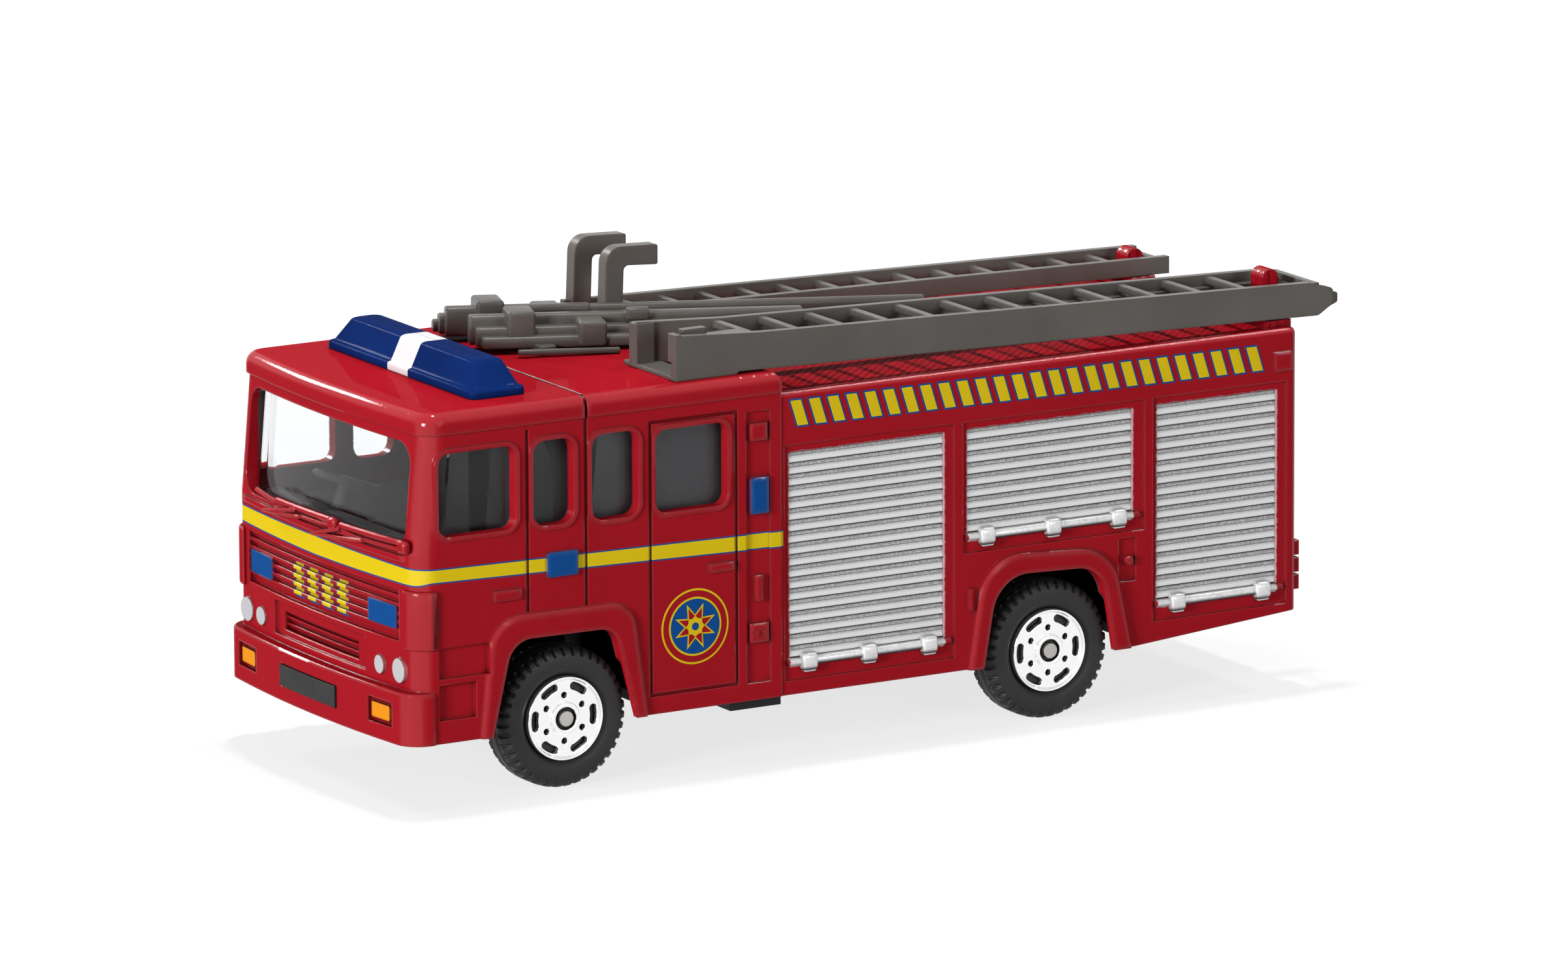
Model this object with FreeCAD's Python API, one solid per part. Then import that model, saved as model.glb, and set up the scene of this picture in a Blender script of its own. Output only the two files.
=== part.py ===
import FreeCAD, Part
import math
import os

# A die-cast toy fire engine with a metal body shell, a riveted plastic base, clear cab glazing,
# a dark cab moulding, a light bar, two ladders and hose bundles on the roof, and two wheelsets.
# Millimetres. +X points forward, +Y to the left, +Z up, and z = 0 is the ground under the tyres.
# Small details are given as (low, high) pairs along the face that they lie on.

V = FreeCAD.Vector

# Overall places along the length
BODY_REAR = -58.9
CAB_REAR = 9.4
FACE_FRONT = 56.8
BUMPER_FRONT = 58.1
LADDER_TIP = -65.4

# Body shell
CAB_HALF_WIDTH = 21.1
REAR_STEP = 0.15
REAR_HALF_WIDTH = CAB_HALF_WIDTH - REAR_STEP
ROOF_CAP_OVERHANG = 0.25
BUMPER_OVERHANG = 0.25
WALL = 1.3
FRONT_WALL = 2.2
SKIRT = 7.3
REAR_SKIRT_START = -37.0
REAR_SKIRT = 9.0
BUMPER_TOP = 13.2
SILL = 28.6
SILL_BAND = (27.7, 28.4)
CAB_TOP = 44.4
CAP_BOTTOM = CAB_TOP - 2.4
REAR_TOP = CAB_TOP - 2.5
ROOF_RIM = 0.8
ROOF_SINK = 0.2
RAKE = 1.2
BOW_RADIUS = 185.0
CORNER = 2.6
BUMPER_CORNER = 3.0
BUMPER_ROUND = 0.2
BUMPER_RUN = 0.5
BUMPER_BOW = (CAB_HALF_WIDTH + BUMPER_OVERHANG - BUMPER_CORNER) ** 2 / (2 * (BOW_RADIUS - BUMPER_CORNER))
BUMPER_REAR = BUMPER_FRONT - BUMPER_CORNER - BUMPER_BOW - BUMPER_RUN
CAP_FRONT = 0.35
CAP_ROUND = 1.4
REAR_CORNER = 1.0
REAR_ROUND = 0.7
GROOVE = 0.36
GROOVE_DEPTH = 0.3
RELIEF = 0.35
LOW_RELIEF = 0.2
ROOT = 0.5

# Wheels
FRONT_AXLE_X = 36.66
REAR_AXLE_X = -26.15
TYRE_RADIUS = 8.0
TYRE_WIDTH = 5.0
TYRE_INSET = 0.9
TYRE_OUTER_Y = CAB_HALF_WIDTH - TYRE_INSET
TYRE_SHOULDER = 0.8
TYRE_BEAD = 0.5
HUB_RADIUS = 4.8
HUB_PROUD = 0.15
HUB_FACE_Y = TYRE_OUTER_Y + HUB_PROUD
HUB_DEPTH = 3.2
HUB_OPENING_DEPTH = 0.8
HUB_DISH = 0.35
HUB_DISH_RADIUS = 4.35
HUB_EYE_RADIUS = 1.2
HUB_EYE_DEPTH = 0.5
HUB_HOLE_RADIUS = 0.37
HUB_HOLE_CIRCLE = 2.6
HUB_SLOT_RADIUS = 3.72
HUB_SLOT_WIDTH = 0.85
HUB_SLOT_LENGTH = 2.3
HUB_SPOKES = 6
AXLE_RADIUS = 0.85
AXLE_CLEARANCE = 0.05
SEAT_CLEARANCE = 0.03
AXLE_PROUD = 0.1
AXLE_END_Y = HUB_FACE_Y + AXLE_PROUD
WHEEL_ROOM = 1.0

# Base
BASE_BOTTOM = 8.6
BASE_TOP = 9.8
BASE_GAP = 0.15
BLOCK_HALF = 2.2
BLOCK_BOTTOM = 6.5
BLOCK_GAP = 0.8
BLOCK_END_Y = TYRE_OUTER_Y - TYRE_WIDTH - BLOCK_GAP
TANK_X = (8.5, 15.0)
TANK_Y = (CAB_HALF_WIDTH - 9.1, CAB_HALF_WIDTH - 1.9)
TANK_BOTTOM = 5.9
PLATE_HALF = 6.4
PLATE_Z = (9.1, 11.5)
PLATE_PROUD = 0.2
PLATE_DEPTH = 6.0
PLATE_GAP = 0.1
RIVET_X = (22.0, -50.0)
POST_RADIUS = 2.0
POST_GAP = 0.3
RIVET_RADIUS = 1.2
RIVET_HEAD = 1.9
RIVET_HEAD_HEIGHT = 0.5
RIVET_RECESS_RADIUS = 2.3
RIVET_RECESS_DEPTH = 0.6

# Cab openings as (x low, x high, z low, z high, corner radius)
SIDE_WINDOWS = ((43.35, 53.0, 30.5, 39.9, 1.3), (36.0, 41.1, 30.4, 40.0, 1.5),
                (27.8, 33.7, 30.2, 39.9, 1.5), (16.4, 25.6, 30.1, 39.5, 1.3))
WINDOW_LIP = 0.55
SCREEN_HALF = CAB_HALF_WIDTH - CORNER
SCREEN_Z = (28.9, CAP_BOTTOM - 1.2)
SCREEN_CORNER = 2.5

# Seams of the cab side and the raised or sunk details between them, as x and z pairs
SEAMS = ((41.8, 20.9, CAP_BOTTOM - 0.6), (34.4, 20.8, CAB_TOP))
CREW_DOOR = ((15.05, 26.4), (9.3, 40.6))
PILLAR_PANEL = ((10.9, 13.9), (9.3, 40.2))
STEP_X = (46.75, 53.0)
STEP_RECESSES = ((14.6, 18.05, 0.4), (9.9, 13.9, 0.55))
LOW_STEP_SHIFT = 1.65
REAR_HATCH = ((-37.1, -34.9), (15.0, 20.0))
RAISED = (((15.7, 18.9), (22.6, 23.6)), ((42.75, 46.3), (22.55, 23.75)), ((35.6, 39.5), (24.5, 27.3)),
          ((11.2, 13.5), (28.6, 32.7)))
LOW_RAISED = (((11.3, 13.5), (36.9, 38.9)), ((11.9, 12.9), (18.6, 21.6)), ((11.2, 13.6), (13.9, 16.1)),
              ((-58.0, -55.5), (37.1, 39.2)), ((-15.5, -14.9), (14.1, 16.7)))
KNOBS = ((-36.0, 17.5, 0.55), (11.9, 15.0, 0.35), (12.9, 15.0, 0.35))

# Front of the cab, as half widths or y pairs and z pairs
PANEL_HALF = CAB_HALF_WIDTH - 3.7
PANEL_Z = (18.6, 24.4)
PANEL_DEPTH = 0.6
PANEL_RIBS = (19.7, 20.65, 21.6, 22.55, 23.5)
RIB_HALF = 0.22
RIB_DEPTH = 0.25
GRILLE_HALF = 8.6
GRILLE_Z = (14.8, 16.9)
GRILLE_DEPTH = 1.15
LOUVRES = (15.4, 16.2)
LOUVRE_HALF = 0.16
LOUVRE_DEPTH = 0.75
SURROUND_HALF = 10.5
SURROUND_Z = (14.1, 17.9)
SURROUND_DEPTH = 0.35
POCKET_Y = (CAB_HALF_WIDTH - 8.1, CAB_HALF_WIDTH - 3.3)
POCKET_Z = (9.07, 11.85)
POCKET_DEPTH = 0.6
INDICATOR_Y = (CAB_HALF_WIDTH - 7.5, CAB_HALF_WIDTH - 4.0)
INDICATOR_Z = (9.6, 11.3)
INDICATOR_DEPTH = 0.15
HEADLAMPS = ((CAB_HALF_WIDTH - 3.5, 1.38), (CAB_HALF_WIDTH - 7.35, 1.05))
HEADLAMP_Z = 15.35
HEADLAMP_PROUD = 0.3
BLUE_LAMP_Y = (CAB_HALF_WIDTH - 9.9, CAB_HALF_WIDTH - 4.3)
BLUE_LAMP_Z = (19.85, 22.45)
WIPERS = ((-13.8, -3.1), (0.0, 11.5))
WIPER_Z = (28.8, 29.9)
WIPER_RADIUS = 0.28
WIPER_STANDOFF = 0.5
WIPER_LEAN = 2.5

# Wheel arches as (x, z, corner radius), the lip outside and the opening inside
FRONT_LIP = ((48.2, 5.0, 0), (46.5, 20.8, 4.2), (28.6, 20.6, 3.2), (26.4, 5.0, 0))
FRONT_OPENING = ((47.1, 5.0, 0), (44.0, 18.0, 3.0), (31.0, 17.9, 2.6), (27.7, 5.0, 0))
REAR_LIP = ((-14.4, 5.0, 0), (-17.0, 20.3, 5.5), (-33.9, 19.3, 5.5), (-37.0, 5.0, 0))
REAR_OPENING = ((-16.3, 5.0, 0), (-18.6, 17.8, 4.6), (-32.4, 17.3, 4.0), (-34.4, 5.0, 0))
LIP_PROUD = 0.5
LIP_BEVEL = 0.35

# Roller shutters as the frame's x and z pairs, the slats' x pair and lower edge, and the clamps' places
SHUTTERS = (
    ((-13.1, 8.9), (8.9, 35.8), (-11.8, 8.2), 11.4, (5.86, -1.94, -9.77)),
    ((-38.3, -14.35), (20.75, 35.8), (-36.7, -15.0), 23.0, (-17.4, -26.1, -34.8)),
    ((-57.3, -39.45), (9.9, 35.8), (-56.0, -40.1), 12.3, (-42.7, -54.1)),
)
REAR_FRAME_HALF = REAR_HALF_WIDTH - 6.35
REAR_SLAT_HALF = REAR_FRAME_HALF - 1.2
REAR_SHUTTER = ((-REAR_FRAME_HALF, REAR_FRAME_HALF), (12.0, 35.8), (-REAR_SLAT_HALF, REAR_SLAT_HALF), 14.4,
                (-9.5, 9.5))
SLAT_TOP = 34.9
SLAT_PITCH = 1.331
SLAT_BULGE = 0.22
SLAT_LIP = 0.12
FRAME_DEPTH = 0.22
SLAT_DEPTH = 0.5
RAIL_RADIUS = 0.42
RAIL_DROP = 0.45
RAIL_REACH = (0.9, 0.4)
CLAMP_PROUD = 0.5
CLAMP_WIDTH = 1.55
CLAMP_Z = (-1.2, 0.72)

# Rear face
REAR_LAMP_Y = (REAR_HALF_WIDTH - 3.75, REAR_HALF_WIDTH - 0.75)
REAR_LAMP_ZS = (12.0, 14.0, 16.0)
REAR_LAMP_HALF = 0.85
REAR_LAMP_PROUD = 0.7
REAR_KNOB = (REAR_HALF_WIDTH - 3.45, 38.5, 0.6, 0.4)

# Glazing and cab moulding
GLASS = 0.8
GLASS_REAR = 11.2
ROOM_GAP = 0.1
CREW_X = (11.4, 33.5)
CREW_WALL = 1.2
CREW_HALF = CAB_HALF_WIDTH - 2.7
FLOOR_Z = (18.0, 20.0)
DASH_X = 50.6
DASH_TOP = (28.6, 29.2)
SEAT_Y = CAB_HALF_WIDTH - 11.5
SEAT_HALF = 5.4
SEAT_BASE = 19.5
SEAT_TOP = 38.6
SEAT_ARCH = 4.6
SEAT_BACK_X = (32.0, 35.2)
SEAT_FRONT = 41.5
CUSHION_TOP = 24.2
WHEEL_RING = 3.6
WHEEL_RIM = 0.8
WHEEL_TILT = 19.3
WHEEL_PLACE = (47.4, -SEAT_Y, 30.6)
COLUMN_LENGTH = 11.0
LEG_X = (11.6, 31.2)
LEG_LENGTH = 2.0
LEG_Y = (CAB_HALF_WIDTH - 15.1, CAB_HALF_WIDTH - 7.1)

# Light bar
BAR_X = (39.3, 46.2)
BAR_HALF = CAB_HALF_WIDTH - 4.3
BAR_FLANGE = 0.95
BAR_INSET = 0.45
BAR_TOP_X = (40.9, 44.4)
BAR_TOP_HALF = BAR_HALF - 2.5
BAR_TOP = CAB_TOP + 3.8
BAR_BEVEL = 0.35
PEG_RADIUS = 1.0
PEG_GAP = 0.05
PEG_Y = 10.0

# Extension ladder on the left of the roof
LEFT_LADDER_Y = (CAB_HALF_WIDTH - 11.1, CAB_HALF_WIDTH - 1.1)
LADDER_FRONT = 22.2
RAIL_THICKNESS = 1.0
LEFT_FOOT_END = 14.5
LEFT_BOTTOM = (CAB_TOP + 0.3, REAR_TOP + 0.8)
LEFT_TOP = (CAB_TOP + 5.1, CAB_TOP + 4.4, REAR_TOP + 4.7)
LEFT_TOP_BREAK = 11.0
LEFT_REAR = -61.0
LEFT_END_REACH = 3.2
LEFT_RUNG_FIRST = 11.8
LEFT_RUNG_PITCH = 5.9
LEFT_RUNGS = 12
RUNG_SIZE = 0.8
RUNG_SINK = 0.2
LOWER_RUNG_DROP = 2.2
SLIDE_TOP = (CAB_TOP + 2.4, REAR_TOP + 3.5)
SLIDE_END_Z = (REAR_TOP + 1.9, REAR_TOP + 3.0)
PLATE_X = (19.0, 22.2)
PLATE_THICKNESS = 0.45
PLATE_REACH = 1.6
STOP_BLOCK = ((19.9, 22.2), (LEFT_LADDER_Y[0] - 0.4, LEFT_LADDER_Y[0] + 1.3), CAB_TOP + 4.9)
END_FLANGE = ((21.5, 22.2), (LEFT_LADDER_Y[1] - 1.8, LEFT_LADDER_Y[1]), (CAB_TOP + 2.0, CAB_TOP + 5.2))
SHELF = ((12.5, 20.5), (LEFT_LADDER_Y[1] - 3.2, LEFT_LADDER_Y[1] - 0.5), (CAB_TOP + 3.8, CAB_TOP + 4.4))
PAWL = ((17.2, 20.2), (LEFT_LADDER_Y[1] - 2.95, LEFT_LADDER_Y[1] - 1.85), (CAB_TOP + 4.1, CAB_TOP + 5.3))

# Hook ladder on the right of the roof
HOOK_RAIL_FRONT = 16.0
HOOK_RAIL_REAR = -60.8
HOOK_NEAR_Y = (-8.9, -10.1)
HOOK_FAR_Y = (-16.4, -17.2)
HOOK_LADDER_HEIGHT = 2.0
HOOK_RUNG_FIRST = 8.6
HOOK_RUNG_PITCH = 5.22
HOOK_RUNGS = 13
HOOK_RUNG_SINK = 0.5
HOOK_X = 14.3
HOOK_TOP = CAB_TOP + 9.6
HOOK_YS = (-8.7, -15.9)
HOOK_WIDTH = 1.7
HOOK_POST = 2.3
HOOK_ARM = 2.3
HOOK_REACH = 7.0
HOOK_ROUND = 1.9
HOOK_SLOPE = 0.3
HOOK_LIFT = 0.02

# Hose bundles: each is a stepped pile of three hoses that lies askew across the roof
HOSE_FRONT = 33.3
HOSE_SKEW = 0.34
HOSE_FALL = 0.02
HOSE_BEVEL = 0.45
HOSE_STEPS = ((0.0, CAB_TOP + 2.0), (1.25, CAB_TOP + 2.9), (2.9, CAB_TOP + 4.0))
HOSE_DEPTH = 4.8
HOSE_BOTTOM = CAB_TOP + 0.6
LEFT_BUNDLE = (-3.3, 1, 36.0)
RIGHT_BUNDLE = (-16.4, -1, 15.5)
LONG_HOSE = ((-13.3, -11.8), (CAB_TOP + 2.2, CAB_TOP + 3.9), 52.0)
STRAPS = ((3.5, (0.7, 5.2), (CAB_TOP + 1.6, CAB_TOP + 4.7)),
          (10.5, (-0.5, 3.2), (CAB_TOP + 0.8, CAB_TOP + 3.6)))
STRAP_WIDTH = 3.0
HOSE_CLIP = ((-6.9, -5.3), (CAB_TOP + 3.1, CAB_TOP + 4.6), 16.5, 2.4)
TRAY_STRIP = ((-1.6, -0.8), (CAB_TOP + 0.3, CAB_TOP + 1.0), 2.5, 11.0)
TIE_X = (26.0, 28.0)
SADDLE_X = (11.6, 13.6)

# Casting lugs that hold the ladders: (y, top z)
LUGS = ((LEFT_LADDER_Y[0] + 5.5, REAR_TOP + 6.1), (-13.5, REAR_TOP + 3.5))
LUG_X = (-58.9, -56.7)
LUG_HALF = 1.2
PAD_TOP = REAR_TOP + 0.75
PAD_LENGTH = 3.2
PAD_Y = (-5.2, 4.2)

# How far cutting tools reach past what they cut, and their half width and height where they cut right through
PAST = 1.0
THROUGH = 9.0
WIDE = CAB_HALF_WIDTH + THROUGH
TALL = CAB_TOP + THROUGH


def box(x0, x1, y0, y1, z0, z1):
    return Part.makeBox(x1 - x0, y1 - y0, z1 - z0, V(x0, y0, z0))


def rod(radius, start, end):
    axis = end - start
    return Part.makeCylinder(radius, axis.Length, start, axis)


def stick(radius, start, end):
    """An eight-sided bar, for what is too thin to be made round."""
    axis = end - start
    turn = FreeCAD.Rotation(V(0, 0, 1), axis)
    angles = [math.pi / 8 + math.pi / 4 * i for i in range(8)]
    corners = [start + turn.multVec(V(radius * math.cos(a), radius * math.sin(a), 0)) for a in angles]
    return Part.Face(Part.makePolygon(corners + corners[:1])).extrude(axis)


def rounded_wire(corners, place):
    """Closed outline through (u, v, radius) corners, each rounded by a tangent arc."""
    points = [(V(u, v, 0), radius) for u, v, radius in corners]
    ends = []
    for i, (corner, radius) in enumerate(points):
        back = (points[i - 1][0] - corner).normalize()
        ahead = (points[(i + 1) % len(points)][0] - corner).normalize()
        if radius == 0:
            ends.append((corner, None, corner))
            continue
        half = back.getAngle(ahead) / 2
        middle = (back + ahead).normalize()
        run = radius / math.tan(half)
        top = corner + middle * (radius / math.sin(half) - radius)
        ends.append((corner + back * run, top, corner + ahead * run))
    edges = []
    for i, (start, top, end) in enumerate(ends):
        if top is not None:
            edges.append(Part.Arc(place(start), place(top), place(end)).toShape())
        following = ends[(i + 1) % len(ends)][0]
        if end.distanceToPoint(following) > 1e-6:
            edges.append(Part.LineSegment(place(end), place(following)).toShape())
    return Part.Wire(edges)


def prism_y(corners, y0, y1):
    wire = rounded_wire(corners, lambda p: V(p.x, y0, p.y))
    return Part.Face(wire).extrude(V(0, y1 - y0, 0))


def prism_x(corners, x0, x1):
    wire = rounded_wire(corners, lambda p: V(x0, p.x, p.y))
    return Part.Face(wire).extrude(V(x1 - x0, 0, 0))


def rectangle(u0, u1, v0, v1, radius=0):
    return ((u0, v0, radius), (u1, v0, radius), (u1, v1, radius), (u0, v1, radius))


def mirrored(shape):
    return shape.mirror(V(0, 0, 0), V(0, 1, 0))


def pair(shape):
    return [shape, mirrored(shape)]


def cut(solid, *tools):
    for tool in tools:
        solid = solid.cut(tool)
    return solid


def add(solid, *pieces):
    for piece in pieces:
        solid = solid.fuse(piece)
    return solid


def bowed_plan(front, rear, half, corner, z, rounded=True):
    """Plan of a cab slice: a bowed front that meets straight sides at two round or cut corners."""
    centre = front - BOW_RADIUS
    inner = BOW_RADIUS - corner
    corner_x = centre + math.sqrt(inner ** 2 - (half - corner) ** 2)
    reach = math.atan2(half - corner, corner_x - centre)
    turn = (reach + math.pi / 2) / 2
    front_y = BOW_RADIUS * math.sin(reach)
    front_x = centre + BOW_RADIUS * math.cos(reach)
    turn_x = corner_x + corner * math.cos(turn)
    turn_y = half - corner + corner * math.sin(turn)

    def corner_edge(side):
        ends = [V(corner_x, half * side, z), V(front_x, front_y * side, z)]
        if side > 0:
            ends.reverse()
        if rounded:
            return Part.Arc(ends[0], V(turn_x, turn_y * side, z), ends[1])
        return Part.LineSegment(*ends)

    edges = [Part.LineSegment(V(rear, -half, z), V(corner_x, -half, z)),
             corner_edge(-1),
             Part.Arc(V(front_x, -front_y, z), V(front, 0, z), V(front_x, front_y, z)),
             corner_edge(1),
             Part.LineSegment(V(corner_x, half, z), V(rear, half, z)),
             Part.LineSegment(V(rear, half, z), V(rear, -half, z))]
    return Part.Wire([edge.toShape() for edge in edges])


def bowed_slab(front, rear, half, corner, z0, z1, rounded=True):
    return Part.Face(bowed_plan(front, rear, half, corner, z0, rounded)).extrude(V(0, 0, z1 - z0))


def screen_front(z):
    """Front of the raked upper cab at a height, on the centre line."""
    return FACE_FRONT - RAKE * (z - SILL) / (CAP_BOTTOM - SILL)


def face_x(y):
    """Front of the cab's lower face at a distance from the centre line."""
    return FACE_FRONT - y * y / (2 * BOW_RADIUS)


def raked_block(inset, rear, z0, z1):
    """A slice of the upper cab, whose bowed front leans back as it rises."""
    lean = screen_front(z1) - screen_front(z0)
    plan = bowed_plan(screen_front(z0) - inset, rear - 5, CAB_HALF_WIDTH - inset, CORNER, z0, inset == 0)
    slanted = Part.Face(plan).extrude(V(lean, 0, z1 - z0))
    return slanted.cut(box(rear - 2 * THROUGH, rear, -WIDE, WIDE, z0 - PAST, z1 + PAST))


def edges_at(shape, z):
    return [e for e in shape.Edges if all(abs(v.Z - z) < 1e-4 for v in e.Vertexes)]


def body_blocks():
    """The outer form of the casting, before it is hollowed."""
    cab_low = bowed_slab(FACE_FRONT, CAB_REAR, CAB_HALF_WIDTH, CORNER, SKIRT, SILL)
    cab_high = raked_block(0, CAB_REAR, SILL, CAP_BOTTOM + 0.5)
    cap = bowed_slab(screen_front(CAP_BOTTOM) + CAP_FRONT, CAB_REAR, CAB_HALF_WIDTH + ROOF_CAP_OVERHANG,
                     CORNER, CAP_BOTTOM, CAB_TOP)
    cap = cap.makeFillet(CAP_ROUND, edges_at(cap, CAB_TOP))
    bumper = bowed_slab(BUMPER_FRONT, BUMPER_REAR, CAB_HALF_WIDTH + BUMPER_OVERHANG, BUMPER_CORNER,
                        SKIRT, BUMPER_TOP)
    bumper = bumper.makeChamfer(BUMPER_ROUND, edges_at(bumper, BUMPER_TOP))
    sill = bowed_slab(FACE_FRONT + RELIEF, BUMPER_REAR - 2, CAB_HALF_WIDTH - WALL, CORNER, *SILL_BAND)
    rear = box(BODY_REAR, CAB_REAR + 1, -REAR_HALF_WIDTH, REAR_HALF_WIDTH, SKIRT, REAR_TOP)
    uprights = [e for e in rear.Edges if all(abs(v.X - BODY_REAR) < 1e-4 for v in e.Vertexes)
                and abs(e.Vertexes[0].Z - e.Vertexes[1].Z) > 1]
    rear = rear.makeFillet(REAR_CORNER, uprights)
    rear = rear.makeFillet(REAR_ROUND, [e for e in edges_at(rear, REAR_TOP) if e.BoundBox.XMin < CAB_REAR])
    return [cab_low, cab_high, cap, bumper, sill, rear]


def window_prism(window, grow, y0, y1):
    x0, x1, z0, z1, radius = window
    return prism_y(rectangle(x0 - grow, x1 + grow, z0 - grow, z1 + grow, radius + grow), y0, y1)


def arch_lip(corners):
    """A raised lip round a wheel arch, bevelled along its outer edge."""
    face = CAB_HALF_WIDTH + LIP_PROUD
    lip = prism_y(corners, REAR_HALF_WIDTH - WALL, face)
    low = corners[0][1]
    rim = [e for e in lip.Edges
           if all(abs(v.Y - face) < 1e-4 for v in e.Vertexes) and e.BoundBox.ZMax > low + 0.1]
    return lip.makeChamfer(LIP_BEVEL, rim)


def slat_recess(x_pair, z0, face_y):
    """The recess of a roller shutter, whose floor is a row of slats that lean out to a lip at their foot."""
    x0, x1 = x_pair
    count = round((SLAT_TOP - z0) / SLAT_PITCH)
    pitch = (SLAT_TOP - z0) / count
    groove = face_y - SLAT_DEPTH
    points = []
    for i in range(count):
        low = z0 + i * pitch
        points += [V(x0, groove, low), V(x0, groove + SLAT_BULGE, low + SLAT_LIP)]
    points += [V(x0, groove, SLAT_TOP), V(x0, face_y + 1, SLAT_TOP), V(x0, face_y + 1, z0)]
    return Part.Face(Part.makePolygon(points + points[:1])).extrude(V(x1 - x0, 0, 0))


def shutter(frame_x, frame_z, slat_x, slat_z, clamps, face_y):
    """One roller shutter on the +Y face as its frame recess, its slat recess, and its rail's pieces."""
    rail_z = slat_z - RAIL_DROP
    rail_y = face_y - FRAME_DEPTH
    rail = [stick(RAIL_RADIUS, V(slat_x[0] - RAIL_REACH[0], rail_y, rail_z),
                  V(slat_x[1] + RAIL_REACH[1], rail_y, rail_z))]
    for x in clamps:
        rail.append(box(x - CLAMP_WIDTH / 2, x + CLAMP_WIDTH / 2, rail_y - ROOT, rail_y + CLAMP_PROUD,
                        rail_z + CLAMP_Z[0], rail_z + CLAMP_Z[1]))
    frame = box(*frame_x, rail_y, face_y + 1, *frame_z)
    return frame, slat_recess(slat_x, slat_z, face_y), rail


def rear_shutter():
    """The same shutter turned on to the rear face."""
    frame, slats, rail = shutter(*REAR_SHUTTER, 0)
    for shape in [frame, slats] + rail:
        shape.rotate(V(0, 0, 0), V(0, 0, 1), 90)
        shape.translate(V(BODY_REAR, 0, 0))
    return frame, slats, rail


def side_cuts():
    """Seams and recesses of the left side."""
    y0 = CAB_HALF_WIDTH - GROOVE_DEPTH
    y1 = CAB_HALF_WIDTH + 1
    cuts = [box(x - GROOVE / 2, x + GROOVE / 2, y0, y1, *z) for x, *z in SEAMS]
    (x0, x1), (z0, z1) = CREW_DOOR
    leaf = box(x0 + GROOVE, x1 - GROOVE, y0 - 1, y1 + 1, z0 + GROOVE, z1 - GROOVE)
    cuts.append(box(x0, x1, y0, y1, z0, z1).cut(leaf))
    x_pair, z_pair = PILLAR_PANEL
    cuts.append(box(*x_pair, y0, y1, *z_pair))
    for i, (z0, z1, depth) in enumerate(STEP_RECESSES):
        cuts.append(box(STEP_X[0] + i * LOW_STEP_SHIFT, STEP_X[1], CAB_HALF_WIDTH - depth, y1, z0, z1))
    x_pair, z_pair = REAR_HATCH
    cuts.append(box(*x_pair, REAR_HALF_WIDTH - GROOVE_DEPTH, y1, *z_pair))
    return cuts


def side_adds():
    """Handles, lamps and bumps that stand out of the left side."""
    y = CAB_HALF_WIDTH
    adds = [box(*x_pair, y - ROOT, y + RELIEF, *z_pair) for x_pair, z_pair in RAISED]
    adds += [box(*x_pair, y - 2 * ROOT, y + LOW_RELIEF, *z_pair) for x_pair, z_pair in LOW_RAISED]
    adds += [stick(radius, V(x, y - 2 * ROOT, z), V(x, y + RELIEF, z)) for x, z, radius in KNOBS]
    return adds


def front_layer(depth, half, z_pair, front=FACE_FRONT):
    """What lies behind a bowed face at a depth, within a half width and two heights."""
    slab = bowed_slab(front - depth, BUMPER_REAR - 4, CAB_HALF_WIDTH, CORNER, *z_pair)
    return slab.common(box(0, BUMPER_FRONT + 5, -half, half, *z_pair))


def front_recess(depth, half, z_pair, ribs=(), rib_half=0, rib_depth=0):
    """A recess of one depth in the bowed face that leaves shallower ribs at some heights."""
    recess = front_layer(-2, half, z_pair).cut(front_layer(depth, half + 1, (z_pair[0] - 1, z_pair[1] + 1)))
    for z in ribs:
        recess = recess.cut(front_layer(rib_depth, half + 1, (z - rib_half, z + rib_half)))
    return recess


def front_cuts():
    """The ribbed panel, the grille in its surround, the windscreen and the indicator pockets."""
    pocket = box(BUMPER_REAR, BUMPER_FRONT + 1, *POCKET_Y, *POCKET_Z)
    plan = (BUMPER_REAR - 4, CAB_HALF_WIDTH, BUMPER_CORNER)
    backing = bowed_slab(BUMPER_FRONT - POCKET_DEPTH, *plan, SKIRT, SILL)
    lamp = bowed_slab(BUMPER_FRONT - INDICATOR_DEPTH, *plan, *INDICATOR_Z)
    lamp = lamp.common(box(BUMPER_REAR, BUMPER_FRONT + 1, *INDICATOR_Y, *INDICATOR_Z))
    screen = prism_x(rectangle(-SCREEN_HALF, SCREEN_HALF, *SCREEN_Z, SCREEN_CORNER), BUMPER_REAR - 6,
                     BUMPER_FRONT + 1)
    return [front_recess(PANEL_DEPTH, PANEL_HALF, PANEL_Z, PANEL_RIBS, RIB_HALF, RIB_DEPTH),
            front_recess(SURROUND_DEPTH, SURROUND_HALF, SURROUND_Z),
            front_recess(GRILLE_DEPTH, GRILLE_HALF, GRILLE_Z, LOUVRES, LOUVRE_HALF, LOUVRE_DEPTH),
            screen, cut(pocket, backing, lamp)]


def front_adds():
    """Headlamps and the blue lamp block of the ribbed panel's left half."""
    adds = []
    for y, radius in HEADLAMPS:
        x = face_x(y)
        adds.append(rod(radius, V(x - FRONT_WALL / 2, y, HEADLAMP_Z), V(x + HEADLAMP_PROUD, y, HEADLAMP_Z)))
    lamp = front_layer(0, BLUE_LAMP_Y[1], BLUE_LAMP_Z)
    rear = face_x(BLUE_LAMP_Y[1]) - FRONT_WALL / 2
    adds.append(lamp.common(box(rear, BUMPER_FRONT, *BLUE_LAMP_Y, *BLUE_LAMP_Z)))
    return adds


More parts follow.
